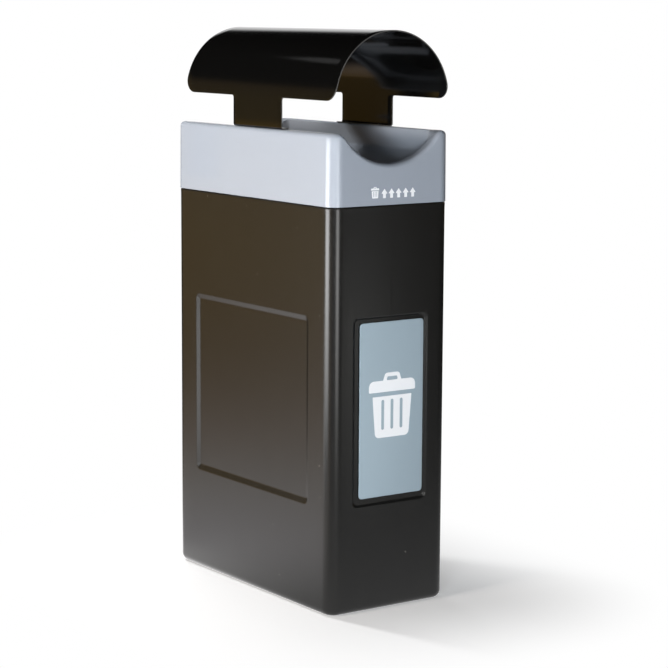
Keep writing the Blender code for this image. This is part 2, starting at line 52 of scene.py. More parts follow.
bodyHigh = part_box("body_shell")[1]  # the frame gives the large sizes
lidLow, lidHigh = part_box("lid_hopper")
linerLow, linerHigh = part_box("inner_liner")
canopyLow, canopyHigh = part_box("canopy")
signLow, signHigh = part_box("sign_plate")
pinLow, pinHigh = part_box("hinge_pin_left")


def sizes(counts=(), **lengths):
    # the numbers of one piece: counts and shares as given, lengths in millimetres
    return {**dict(counts), **{label: length * mm for label, length in lengths.items()}}


# Meshes

def shadeSmooth(mesh, sharp=30):
    mesh.shade_smooth()
    mesh.set_sharp_from_angle(angle=math.radians(sharp))


def addPiece(name, bm, material=None):
    mesh = bpy.data.meshes.new(name)
    bm.to_mesh(mesh)
    bm.free()
    shadeSmooth(mesh)
    if material:
        mesh.materials.append(material)
    piece = bpy.data.objects.new(name, mesh)
    bpy.context.scene.collection.objects.link(piece)
    return piece


def bakePiece(piece, sharp=30):
    # the evaluated shape becomes a plain mesh, and the modifiers go
    evaluated = piece.evaluated_get(bpy.context.evaluated_depsgraph_get())
    plain = bpy.data.meshes.new_from_object(evaluated)
    piece.modifiers.clear()
    piece.data = plain
    shadeSmooth(plain, sharp)


def settle(piece, body, nodes):
    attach(piece, body)
    if nodes:
        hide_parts(*nodes)


def loft(rings, ends="capped"):
    bm = bmesh.new()
    rows = [[bm.verts.new(point) for point in ring] for ring in rings]
    pairs = list(zip(rows, rows[1:]))
    if ends == "joined":
        pairs.append((rows[-1], rows[0]))
    for lower, upper in pairs:
        for i, here in enumerate(lower):
            after = (i + 1) % len(lower)
            bm.faces.new((here, lower[after], upper[after], upper[i]))
    if ends == "capped":
        bm.faces.new(reversed(rows[0]))
        bm.faces.new(rows[-1])
    return bm


def turned(profile, steps=32):
    # solid turned round Z from radius and height pairs, lowest first
    angles = [4 * rightAngle * step / steps for step in range(steps)]
    return loft([[(r * math.cos(a), r * math.sin(a), z) for a in angles] for r, z in profile])


def quarter(steps, first=0):
    # the angles of a quarter turn
    return [rightAngle * step / steps for step in range(first, steps + 1)]


def roundedOutline(corners, steps=8):
    # closed outline from x, y, radius corners
    found = []
    for before, here, after in zip(corners[-1:] + corners[:-1], corners, corners[1:] + corners[:1]):
        point, radius = Vector(here[:2]), here[2]
        if not radius:
            found.append(point)
            continue
        back, ahead = [(Vector(other[:2]) - point).normalized() for other in (before, after)]
        half = back.angle(ahead) / 2
        centre = point + (back + ahead).normalized() * radius / math.sin(half)
        start, end = [point + way * radius / math.tan(half) - centre for way in (back, ahead)]
        first = math.atan2(start.y, start.x)
        turn = math.remainder(math.atan2(end.y, end.x) - first, 4 * rightAngle)
        for step in range(steps + 1):
            angle = first + turn * step / steps
            found.append(centre + Vector((math.cos(angle), math.sin(angle))) * radius)
    return found


def mirrored(half, tip=()):
    # a whole outline from its right half and what lies on its axis
    return half + list(tip) + [(-x, y, radius) for x, y, radius in reversed(half)]


def rectangle(width, height, radius, steps=8):
    x, y = width / 2, height / 2
    return roundedOutline(mirrored([(x, -y, radius), (x, y, radius)]), steps)


def flatFace(outline):
    bm = bmesh.new()
    bm.faces.new([bm.verts.new((point[0], point[1], 0)) for point in outline])
    return bm


def thickened(bm, thickness, edgeRound, steps=3):
    # a flat one-sided sheet gets its rounded edge, grown outwards, and its other face below
    rim = bm.faces.layers.float.new("rim")
    faces = bm.faces[:]
    outward, edges = {}, []
    for face in faces:
        for corner in face.loops:
            if len(corner.edge.link_faces) > 1:
                continue
            here, after = corner.vert, corner.link_loop_next.vert
            run = (after.co - here.co).normalized()
            edges.append((here, after))
            for vert in (here, after):
                outward[vert] = outward.get(vert, Vector((0, 0, 0))) + Vector((run.y, -run.x, 0))
    levels = [(edgeRound * math.sin(a), edgeRound * (1 - math.cos(a))) for a in quarter(steps, 1)]
    levels += [(grow, thickness - depth) for grow, depth in reversed(levels)]
    below = {vert: bm.verts.new(vert.co - Vector((0, 0, thickness))) for vert in bm.verts[:]}
    column = {}
    for vert, way in outward.items():
        way.normalize()
        middle = [bm.verts.new(vert.co + way * grow - Vector((0, 0, depth))) for grow, depth in levels]
        column[vert] = [vert] + middle + [below[vert]]
    for here, after in edges:
        lines = [zip(column[vert], column[vert][1:]) for vert in (here, after)]
        for (a, b), (c, d) in zip(*lines):
            bm.faces.new((c, a, b, d))[rim] = 1
    for face in faces:
        bm.faces.new([below[vert] for vert in reversed(face.verts)])
    return bm


def moved(bm, matrix):
    bmesh.ops.transform(bm, matrix=matrix, verts=bm.verts)
    return bm


def standing(turn, x, y, z):
    # stands a shape drawn on XY upright, +Z outwards to the front, then turns it round the can
    upright = Matrix.Rotation(rightAngle, 4, "X")
    return Matrix.Translation((x, y, z)) @ Matrix.Rotation(turn * rightAngle, 4, "Z") @ upright


def carve(piece, operation, bm):
    helper = addPiece("helper", bm)
    change = piece.modifiers.new(operation, "BOOLEAN")
    change.operation = operation
    change.solver = "EXACT"
    change.object = helper
    bakePiece(piece)
    bpy.data.objects.remove(helper)


def stops(low, high, zones, fine, coarse):
    # places from low to high, close together inside the zones
    found = [low]
    while found[-1] < high - tiny:
        here = found[-1]
        inside = any(start - tiny <= here < end - tiny for start, end in zones)
        limits = [start for start, _ in zones if start > here + tiny] + [high]
        found.append(min([here + (fine if inside else coarse)] + limits))
    return found


# Node trees

def feed(tree, socket, value):
    # another node's socket is linked, a plain value is set
    if isinstance(value, bpy.types.NodeSocket):
        tree.links.new(value, socket)
    else:
        socket.default_value = value


def addNode(tree, kind, inputs=(), **settings):
    # inputs are a row from the first one on, or a dictionary by name or number
    node = tree.nodes.new(kind)
    for label, value in settings.items():
        setattr(node, label, value)
    for label, value in (inputs.items() if isinstance(inputs, dict) else enumerate(inputs)):
        feed(tree, node.inputs[label], value)
    return node.outputs


def treeMath(tree):
    def run(operation, *values):
        return addNode(tree, "ShaderNodeMath", values, operation=operation)[0]
    return run


def newTree(name, kind, inputs, outputs):
    # sockets are dictionaries of labels by type
    tree = bpy.data.node_groups.new(name, kind)
    for way, sockets in (("INPUT", inputs), ("OUTPUT", outputs)):
        for socketType, labels in sockets.items():
            for label in labels:
                tree.interface.new_socket(label, in_out=way, socket_type="NodeSocket" + socketType)
    return tree, addNode(tree, "NodeGroupInput"), tree.nodes.new("NodeGroupOutput").inputs


def runTree(piece, tree, values):
    # inputs go in by identifier before the piece is first evaluated
    change = piece.modifiers.new(tree.name, "NODES")
    change.node_group = tree
    for item in tree.interface.items_tree:
        if item.in_out == "INPUT" and item.name in values:
            change[item.identifier] = values[item.name]
    bakePiece(piece)


def noise(tree, vector, scale, detail):
    return addNode(tree, "ShaderNodeTexNoise", {"Vector": vector, "Scale": scale, "Detail": detail})["Fac"]


def mixColour(tree, factor, first, second):
    return addNode(tree, "ShaderNodeMix", {0: factor, 6: first, 7: second}, data_type="RGBA")[2]


def stretched(tree, vector, scale):
    return addNode(tree, "ShaderNodeMapping", {"Vector": vector, "Scale": scale})["Vector"]


def rgba(shade):
    # a grey is one number
    return (*shade, 1) if isinstance(shade, tuple) else (shade, shade, shade, 1)


def newMaterial(name):
    material = bpy.data.materials.new(name)
    material.use_nodes = True
    return material, material.node_tree


# Materials

def mouldedTree():
    # moulded or rolled plastic: slow colour drift, drawn streaks, fine grain and a slight wave
    numbers = ["Roughness", "Roughness Spread", "Drift Scale"]
    numbers += [label + measure for label in ("Streak", "Grain", "Wave") for measure in (" Scale", " Height")]
    tree, given, result = newTree(
        "moulded skin", "ShaderNodeTree",
        {"Vector": ["Vector"], "Color": ["Colour", "Tint"], "Float": numbers},
        {"Color": ["Color"], "Float": ["Roughness", "Height"]},
    )
    calc, place = treeMath(tree), given["Vector"]
    drift = noise(tree, stretched(tree, place, (1, 1, 0.3)), given["Drift Scale"], 3)
    streak = noise(tree, stretched(tree, place, (1, 1, 0.02)), given["Streak Scale"], 2)
    grain = noise(tree, place, given["Grain Scale"], 1)
    wave = noise(tree, place, given["Wave Scale"], 1)
    feed(tree, result["Color"], mixColour(tree, drift, given["Colour"], given["Tint"]))
    uneven = calc("SUBTRACT", calc("ADD", drift, streak), 1)
    rough = calc("MULTIPLY_ADD", uneven, given["Roughness Spread"], given["Roughness"])
    feed(tree, result["Roughness"], rough)
    height = calc("MULTIPLY", grain, given["Grain Height"])
    height = calc("MULTIPLY_ADD", streak, given["Streak Height"], height)
    feed(tree, result["Height"], calc("MULTIPLY_ADD", wave, given["Wave Height"], height))
    return tree


def dustTree():
    # scattered specks: a mask from the cells nearest to a few random points
    tree, given, result = newTree(
        "dust specks", "ShaderNodeTree",
        {"Vector": ["Vector"], "Float": ["Scale", "Size", "Share"]}, {"Float": ["Mask"]},
    )
    calc = treeMath(tree)
    cells = addNode(tree, "ShaderNodeTexVoronoi", {"Vector": given["Vector"], "Scale": given["Scale"]})
    pick = addNode(tree, "ShaderNodeSeparateColor", (cells["Color"],))
    near = calc("LESS_THAN", cells["Distance"], calc("MULTIPLY", given["Size"], pick[1]))
    chosen = calc("LESS_THAN", pick[0], given["Share"])
    feed(tree, result["Mask"], calc("MULTIPLY", near, chosen))
    return tree


mouldedSkin, dustSpecks = mouldedTree(), dustTree()
dust = {"Scale": 45, "Size": 0.05, "Share": 0.06}
dustColour = (0.5, 0.46, 0.4)


def surface(name, colour, tint, rough, drift, streak, grain, wave=(9, 0), dusty=False, ior=1.5, metal=0):
    # roughness with its spread; streak, grain and wave each as a scale and a height in millimetres
    material, tree = newMaterial(name)
    place = addNode(tree, "ShaderNodeTexCoord")["Object"]
    values = {"Vector": place, "Colour": rgba(colour), "Tint": rgba(tint), "Drift Scale": drift}
    values["Roughness"], values["Roughness Spread"] = rough
    for label, (scale, height) in (("Streak", streak), ("Grain", grain), ("Wave", wave)):
        values[label + " Scale"], values[label + " Height"] = scale, height * mm
    skin = addNode(tree, "ShaderNodeGroup", values, node_tree=mouldedSkin)
    shown = skin["Color"]
    if dusty:
        mask = addNode(tree, "ShaderNodeGroup", {"Vector": place, **dust}, node_tree=dustSpecks)["Mask"]
        shown = mixColour(tree, mask, shown, rgba(dustColour))
    bump = addNode(tree, "ShaderNodeBump", {"Distance": 1, "Height": skin["Height"]})
    looks = {
        "Base Color": shown, "Roughness": skin["Roughness"], "Normal": bump["Normal"],
        "IOR": ior, "Metallic": metal,
    }
    for label, value in looks.items():
        feed(tree, tree.nodes["Principled BSDF"].inputs[label], value)
    return material


housingPlastic = surface(
    "housing plastic", (0.0122, 0.0118, 0.011), (0.0086, 0.0084, 0.008), (0.25, 0.02), 30,
    streak=(130, 0), grain=(1600, 0.004), wave=(11, 0.15), dusty=True,
)
lidPlastic = surface(
    "lid plastic", (0.345, 0.376, 0.425), (0.33, 0.36, 0.41), (0.22, 0.04), 6,
    streak=(160, 0), grain=(1400, 0.003), wave=(9, 0.2),
)
canopySheet = surface(
    "canopy sheet", (0.0032, 0.0031, 0.0029), (0.0026, 0.0025, 0.0024), (0.11, 0.04), 5,
    streak=(120, 0), grain=(1800, 0.002), wave=(6, 0.15), dusty=True,
)
# the sheet's cut edges: a matt finish, with a colour far lighter than the sheet's that is a painted highlight
# where the edges catch light
canopyEdgeHighlight = surface(
    "canopy edge painted highlight", (0.10, 0.095, 0.09), (0.05, 0.048, 0.045), (0.42, 0.1), 60,
    streak=(500, 0.02), grain=(1500, 0.01),
)
signPlastic = surface(
    "sign plastic", (0.345, 0.426, 0.476), (0.335, 0.414, 0.464), (0.46, 0.05), 9,
    streak=(300, 0), grain=(2200, 0.004), ior=1.33,
)
signPrint = surface(
    "white print", (0.94, 0.945, 0.95), (0.92, 0.925, 0.935), (0.35, 0.04), 30,
    streak=(300, 0), grain=(2500, 0.002),
)
linerPlastic = surface(
    "liner plastic", (0.055, 0.055, 0.058), (0.045, 0.045, 0.048), (0.48, 0.08), 7,
    streak=(220, 0.01), grain=(1200, 0.01), wave=(8, 0.5), dusty=True,
)
foam = surface(
    "foam tape", (0.04, 0.04, 0.042), (0.06, 0.06, 0.062), (0.9, 0.05), 300,
    streak=(300, 0), grain=(900, 0.15),
)
zinc, rivetMetal = [
    surface(
        name, (0.56, 0.56, 0.57), (0.46, 0.46, 0.47), (0.32, 0.12), 260,
        streak=(700, 0.004), grain=(3000, 0.003), metal=1,
    )
    for name in ("zinc plate", "rivet aluminium")
]
blackZinc = surface(
    "black zinc plate", (0.07, 0.07, 0.074), (0.045, 0.045, 0.05), (0.34, 0.1), 260,
    streak=(700, 0.003), grain=(3000, 0.003), metal=1,
)
powderCoat = surface(
    "powder coat", 0.018, 0.025, (0.45, 0.06), 120, streak=(300, 0), grain=(1300, 0.03),
)
print("materials ready")


# Housing

housing = sizes(
    {"cornerSteps": 16, "baseSteps": 10, "edgeSteps": 6},
    cornerRadius=29, baseFillet=17, wall=4.5, floor=7, floorFillet=12, edgeRound=3,
    collarHeight=25, collarInset=4.7, collarWall=4, collarRound=0.75, flare=0.45, flareHeight=13,
    shoulderDepth=7, shoulderSlope=8, wellDepth=2.5, wellLand=34, wellBar=60, wellCorner=18,
    partingHeight=0.2, partingHalfWidth=0.7, fine=1.1, insideFine=5, coarse=40,
)
recess = sizes(
    {"ease": 0.13},
    depth=4.5, bevel=13, endBevel=6.5, corner=15, bottom=231, height=411,
    sideHalf=227, endHalf=98.5, margin=1,
)
bodyHeight = bodyHigh.z - housing["collarHeight"]
cornerSigns = ((1, -1), (1, 1), (-1, 1), (-1, -1))


def cornerWays(corner, steps):
    # the outward ways round one corner of the can
    angles = [rightAngle * (corner - 1 + step / steps) for step in range(steps + 1)]
    return [Vector((math.cos(a), math.sin(a))) for a in angles]


def recessDepth(across, z, half, bevel, grow):
    # how far a pressed panel stands back at this place, with eased edges
    corner, ease, halfHeight = recess["corner"] + grow, recess["ease"], recess["height"] / 2
    dx = abs(across) - (half + grow - corner)
    dz = abs(z - recess["bottom"] - halfHeight) - (halfHeight + grow - corner)
    outside = math.hypot(max(dx, 0), max(dz, 0)) + min(max(dx, dz), 0) - corner
    share = min(max(-outside / bevel, 0), 1)
    if share < ease:
        return recess["depth"] * share**2 / (2 * ease * (1 - ease))
    if share > 1 - ease:
        return recess["depth"] * (1 - (1 - share) ** 2 / (2 * ease * (1 - ease)))
    return recess["depth"] * (share - ease / 2) / (1 - ease)


def housingStations():
    # places round the housing: point, outward way, and on flat faces the place across the panel
    halfX, halfY, radius = bodyHigh.x, bodyHigh.y, housing["cornerRadius"]
    reach, width = recess["bevel"] + recess["corner"], housing["partingHalfWidth"]

    def faceStops(flat, half, isEnd):
        edge = half + recess["margin"]
        zones = [(-edge, reach - half), (half - reach, edge)]
        if isEnd:
            zones.insert(1, (-2 * width, 2 * width))
        found = stops(-flat, flat, zones, housing["fine"], housing["coarse"])
        if isEnd:
            ridge = [width * share for share in (-1, -0.5, 0, 0.5, 1)]
            found = sorted([x for x in found if abs(x) > width * 1.2] + ridge)
        return found[1:-1]

    sideHalf, endHalf = recess["sideHalf"], recess["endHalf"]
    faces = (
        (halfX, sideHalf, faceStops(halfY - radius, sideHalf, False)),
        (halfY, endHalf, faceStops(halfX - radius, endHalf, True)),
    )
    found = []
    for corner, (x, y) in enumerate(cornerSigns):
        centre = Vector((x * (halfX - radius), y * (halfY - radius)))
        ways = cornerWays(corner, housing["cornerSteps"])
        found += [(centre + way * radius, way, None) for way in ways]
        way, along = ways[-1], Vector((-ways[-1].y, ways[-1].x))
        out, half, across = faces[corner % 2]
        found += [(way * out + along * t, way, (t, half, corner % 2)) for t in across]
    return found


def housingRing(places, inset, z, panels=True, grow=0):
    ring = []
    for point, way, panel in places:
        back = inset
        if panel and panels:
            t, half, isEnd = panel
            back += recessDepth(t, z, half, recess["endBevel" if isEnd else "bevel"], grow)
            if isEnd and not grow:
                share = min(abs(t) / housing["partingHalfWidth"], 1)
                back -= housing["partingHeight"] * (1 - share**2)
        ring.append((point.x - way.x * back, point.y - way.y * back, z))
    return ring


def roundSteps(radius, steps, rising=True):
    # inset and rise of a quarter round, from the flat to the upright or back
    pairs = [(radius * (1 - math.sin(a)), radius * (1 - math.cos(a))) for a in quarter(steps)]
    return pairs if rising else pairs[::-1]


def makeHousing():
    h, places = housing, housingStations()
    reach, margin = recess["bevel"] + recess["corner"], recess["margin"]
    low, high = recess["bottom"], recess["bottom"] + recess["height"]
    zones = [(low - margin, low + reach), (high - reach, high + margin)]
    edge = bodyHeight - h["edgeRound"]
    flareFoot = edge - h["flareHeight"]
    rings = [housingRing(places, inset, z, False) for inset, z in roundSteps(h["baseFillet"], h["baseSteps"])]
    for z in stops(h["baseFillet"], edge, zones + [(flareFoot, edge)], h["fine"], h["coarse"])[1:]:
        flare = h["flare"] * (max(z - flareFoot, 0) / h["flareHeight"]) ** 2
        rings.append(housingRing(places, -flare, z))
    collar, soft, top = h["collarInset"], h["collarRound"], bodyHigh.z
    inner, shoulder = collar + h["collarWall"], bodyHeight - h["shoulderDepth"]
    slopeFoot = shoulder - h["shoulderSlope"]
    plain = []
    for inset, rise in roundSteps(h["edgeRound"], h["edgeSteps"], False)[1:]:
        plain.append((h["edgeRound"] - h["flare"] - rise, bodyHeight - inset))
    plain += [
        (collar - soft, bodyHeight), (collar, bodyHeight + soft), (collar, top - soft),
        (collar + soft / 3, top - soft / 3), (collar + soft, top), (inner - soft, top), (inner, top - soft),
        (inner, shoulder), (h["wall"], slopeFoot),
    ]
    rings += [housingRing(places, inset, z, False) for inset, z in plain]
    inside = stops(h["floor"] + h["floorFillet"], slopeFoot, zones, h["insideFine"], h["coarse"])
    rings += [housingRing(places, h["wall"], z, True, h["wall"] / 2) for z in reversed(inside[:-1])]
    for inset, rise in roundSteps(h["floorFillet"], h["baseSteps"], False)[1:]:
        rings.append(housingRing(places, h["wall"] + h["floorFillet"] - rise, h["floor"] + inset, False))
    bm = loft(rings, "open")
    makeBase(bm, len(places))
    piece = addPiece("housing", bm, housingPlastic)
    settle(piece, "housing", ["body_shell"])


def makeBase(bm, count):
    # the floor inside, and the underside: a land round two shallow wells with a bar between them
    h = housing
    bm.verts.ensure_lookup_table()
    bm.faces.new(bm.verts[-count:])
    length = bodyHigh.y - h["wellLand"] - h["wellBar"] / 2
    middle = h["wellBar"] / 2 + length / 2
    edges = [bm.edges.get((bm.verts[i], bm.verts[(i + 1) % count])) for i in range(count)]
    outline = rectangle(2 * (bodyHigh.x - h["wellLand"]), length, h["wellCorner"])
    for side in (-1, 1):
        foot, roof = [
            [bm.verts.new((p.x, p.y + side * middle, z)) for p in outline] for z in (0, h["wellDepth"])
        ]
        for i, here in enumerate(foot):
            after = (i + 1) % len(foot)
            bm.faces.new((foot[after], here, roof[i], roof[after]))
            edges.append(bm.edges.get((here, foot[after])))
        bm.faces.new(reversed(roof))
    bmesh.ops.triangle_fill(bm, use_beauty=True, edges=edges, normal=(0, 0, -1))


makeHousing()
print("housing ready")


# Sign plate and prints

sign = sizes({"cornerSteps": 12, "edgeSteps": 4}, edgeRound=0.7, corner=8, printShift=1.4, printHeight=0.12)
figure = {
    # a plain bin with a lid, its parts as right halves in millimetres: across, up, corner radius
    "can": [(44.4, 0, 11), (51.8, 89.8, 1)],
    "bar": [(61.5, 98.8, 3), (61.5, 123.8, 13), (24.2, 123.8, 0), (18.5, 140.2, 8)],
    "hole": [(15.3, 123.8, 2.5), (12.4, 131.8, 2.5)],
    "slot": [(3.7, 17.1, 3.7 / 1.01), (3.7, 82.3, 3.7 / 1.01)],  # ends just short of a half round
    "slotShifts": (-24.5, 0, 24.5), "foot": 377.8 * mm,
}
lidMark = sizes(
    {"scale": 0.171, "arrow": [(3.7, 0, 1), (3.7, 9.5, 0), (8.2, 9.5, 1)], "arrowTip": [(0, 20, 1)]},
    figureX=-45.4, figureFoot=892, arrowFoot=891.5, height=0.1,
)
lidMark["arrowPlaces"] = [(-21 + number * 18.6) * mm for number in range(5)]


def drawn(half, x, y, scale=1.0, tip=()):
    # the outline of a half in millimetres, with its middle at x and its foot at y
    scale *= mm
    return [(x + p.x * scale, y + p.y * scale) for p in roundedOutline(mirrored(half, tip))]


def binFigure(x, y, scale=1.0):
    found = [drawn(figure[part], x, y, scale) for part in ("can", "bar", "hole")]
    return found + [drawn(figure["slot"], x + shift * scale * mm, y, scale) for shift in figure["slotShifts"]]


def printedShape(name, outlines, place, proud):
    # a filled flat curve, made a mesh and then laid on its face: place gives y from z
    curve = bpy.data.curves.new(name, "CURVE")
    curve.dimensions = "2D"
    curve.fill_mode = "BOTH"
    curve.extrude = proud
    for outline in outlines:
        spline = curve.splines.new("POLY")
        spline.points.add(len(outline) - 1)
        for point, (x, y) in zip(spline.points, outline):
            point.co = (x, y, 0, 1)
        spline.use_cyclic_u = True
    holder = bpy.data.objects.new(name, curve)
    bpy.context.scene.collection.objects.link(holder)
    flat = bpy.data.meshes.new_from_object(holder.evaluated_get(bpy.context.evaluated_depsgraph_get()))
    bpy.data.objects.remove(holder)
    bm = bmesh.new()
    bm.from_mesh(flat)
    bmesh.ops.remove_doubles(bm, verts=bm.verts, dist=tiny)
    for vert in bm.verts:
        x, z, out = vert.co
        vert.co = (x, place(z) - out, z)
    bmesh.ops.recalc_face_normals(bm, faces=bm.faces)
    return addPiece(name, bm, signPrint)


def makeSign():
    width, height = signHigh.x - signLow.x, signHigh.z - signLow.z
    centre = (signLow + signHigh) / 2
    edge = sign["edgeRound"]
    outline = rectangle(width - 2 * edge, height - 2 * edge, sign["corner"] - edge, sign["cornerSteps"])
    plate = thickened(flatFace(outline), signHigh.y - signLow.y, edge, sign["edgeSteps"])
    moved(plate, standing(0, centre.x, signLow.y, centre.z))
    piece = addPiece("sign", plate, signPlastic)
    settle(piece, "housing", ["sign_plate"])
    outlines = binFigure(centre.x + sign["printShift"], figure["foot"])
    mark = printedShape("sign_figure", outlines, lambda z: signLow.y, sign["printHeight"])
    settle(mark, "housing", [])
    for node in ("sign_pad_upper", "sign_pad_lower"):
        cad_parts[node].data.materials.clear()
        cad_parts[node].data.materials.append(foam)


makeSign()
print("sign ready")


# Lid

lid = sizes(
    {
        "rimSteps": 10, "cornerSteps": 18, "endSteps": 96, "sideSteps": 8, "innerSteps": 5,
        "endSpread": math.radians(60), "softAngle": math.radians(60), "sharp": 40,
        "skirtShares": (0, 0.02, 0.2, 0.4, 0.6, 0.8, 0.95, 1),
    },
    wall=3.5, taper=1, rimRound=10, cornerRadius=29, ledge=13, innerRound=4, funnelCorner=22,
    wallFall=42, ridgeFall=46, ridgeRun=6, funnelRun=44, chuteFall=84, chuteRound=4, chuteDraft=1,
    chuteCorner=45, edgeRound=1.4, seam=1.6,
)
skirtBottom = bodyHeight + lid["seam"]
scoop = sizes(
    margin=20, depth=66.2, round=20, wallFall=8, ridgeFall=11, slopeFall=14, footFall=16.5, chuteFall=22,
)
scoop["reach"] = lidHigh.x - scoop["margin"]
scoop["radius"] = (
    scoop["reach"] ** 2 + scoop["depth"] ** 2 - 2 * scoop["round"] * scoop["depth"]
) / (2 * scoop["depth"])


def scoopFall(x):
    s, x = scoop, abs(x)
    if x >= s["reach"]:
        return 0
    if x > s["reach"] * s["radius"] / (s["radius"] + s["round"]):
        return s["round"] - math.sqrt(s["round"] ** 2 - (s["reach"] - x) ** 2)
    return math.sqrt(s["radius"] ** 2 - x**2) - s["radius"] + s["depth"]


def lidStations(inset, radius):
    # points round a ring, each with how squarely it faces an end
    radius = max(radius, mm)
    halfX, halfY, bend = lidHigh.x - inset - radius, lidHigh.y - inset - radius, lid["endSpread"]
    centres = [Vector((x * halfX, y * halfY)) for x, y in cornerSigns]
    found = []
    for corner, centre in enumerate(centres):
        ways = cornerWays(corner, lid["cornerSteps"])
        found += [(centre + way * radius, abs(way.y)) for way in ways]
        after, isEnd = centres[(corner + 1) % 4], corner % 2
        count = lid["endSteps" if isEnd else "sideSteps"]
        for step in range(1, count):
            share = step / count
            if isEnd:
                share = (1 + math.sin(bend * (2 * share - 1)) / math.sin(bend)) / 2
            found.append((centre.lerp(after, share) + ways[-1] * radius, isEnd))
    return found


def lidLevels():
    # the skin from skirt to chute: inset, foot, top, share of that rise, corner radius, least fall in a scoop
    k, s, top = lid, scoop, lidHigh.z
    levels = []

    def add(inset, z, radius, leastFall, foot=0, share=1):
        levels.append((inset, foot, z, share, radius, leastFall))

    rim = k["rimRound"]
    for share in k["skirtShares"]:
        inset = k["taper"] * share
        add(inset, top - rim, k["cornerRadius"] - inset, rim, skirtBottom, share)
    for angle in quarter(k["rimSteps"], 1):
        inset, fall = k["taper"] + rim * (1 - math.cos(angle)), rim * (1 - math.sin(angle))
        add(inset, top - fall, k["cornerRadius"] - inset, fall)
    ledgeEnd, inner = k["taper"] + rim + k["ledge"], k["innerRound"]
    for angle in quarter(k["innerSteps"]):
        fall = inner * (1 - math.cos(angle))
        radius = k["funnelCorner"] + inner * (1 - math.sin(angle))
        add(ledgeEnd + inner * math.sin(angle), top - fall, radius, fall)
    funnel, ridge, lip = ledgeEnd + inner, top - k["ridgeFall"], top - k["chuteFall"]
    chute, run = funnel + k["funnelRun"], k["ridgeRun"]
    add(funnel, top - k["wallFall"], k["funnelCorner"], s["wallFall"])
    add(funnel + run / 4, ridge, k["funnelCorner"], s["ridgeFall"])
    add(funnel + run, ridge - run / 2, k["funnelCorner"], s["slopeFall"])
    add(chute - k["chuteRound"], lip + k["chuteRound"], k["chuteCorner"], s["footFall"])
    add(chute, lip, k["chuteCorner"], s["chuteFall"])
    for share in (0.5, 0):
        add(chute + k["chuteDraft"] * (1 - share), lip, k["chuteCorner"], s["chuteFall"], lidLow.z, share)
    return levels


def makeLid():
    rings = []
    for inset, foot, top, share, radius, leastFall in lidLevels():
        ring = []
        for point, facesEnd in lidStations(inset, radius):
            rim = lidHigh.z - scoopFall(point.x) * facesEnd**2
            ring.append((point.x, point.y, foot + share * (min(top, rim - leastFall) - foot)))
        rings.append(ring)
    piece = addPiece("lid", loft(rings, "open"), lidPlastic)
    wall = piece.modifiers.new("wall", "SOLIDIFY")
    wall.thickness = lid["wall"]
    wall.offset = -1
    wall.use_even_offset = True
    soft = piece.modifiers.new("soft edge", "BEVEL")
    soft.width = lid["edgeRound"]
    soft.segments = 3
    soft.limit_method = "ANGLE"
    soft.angle_limit = lid["softAngle"]
    bakePiece(piece, lid["sharp"])
    settle(piece, "lid", ["lid_hopper"])
    tilt = lid["taper"] / (lidHigh.z - lid["rimRound"] - skirtBottom)

    def front(z):
        return lidLow.y + (z - skirtBottom) * tilt

    m = lidMark
    outlines = binFigure(m["figureX"], m["figureFoot"], m["scale"])
    outlines += [drawn(m["arrow"], x, m["arrowFoot"], tip=m["arrowTip"]) for x in m["arrowPlaces"]]
    mark = printedShape("lid_marks", outlines, front, m["height"])
    settle(mark, "lid", [])


makeLid()
print("lid ready")


# Canopy, one cut sheet that is rolled and folded by a node tree

canopy = sizes(
    {
        "hoodRows": 36, "cornerRows": 12, "filletRows": 6, "legRows": 4, "bendRows": 8, "footRows": 4,
        "hoodColumns": 8, "legColumns": 10,
    },
    thickness=2.5, footTop=0.3, legRise=65.1, sideHeight=2.6, corner=34, legWidth=190, legFillet=6,
    footBend=5.5, footDepth=20, footCorner=4, edgeRound=0.35,
)
rollRadius = canopyHigh.x


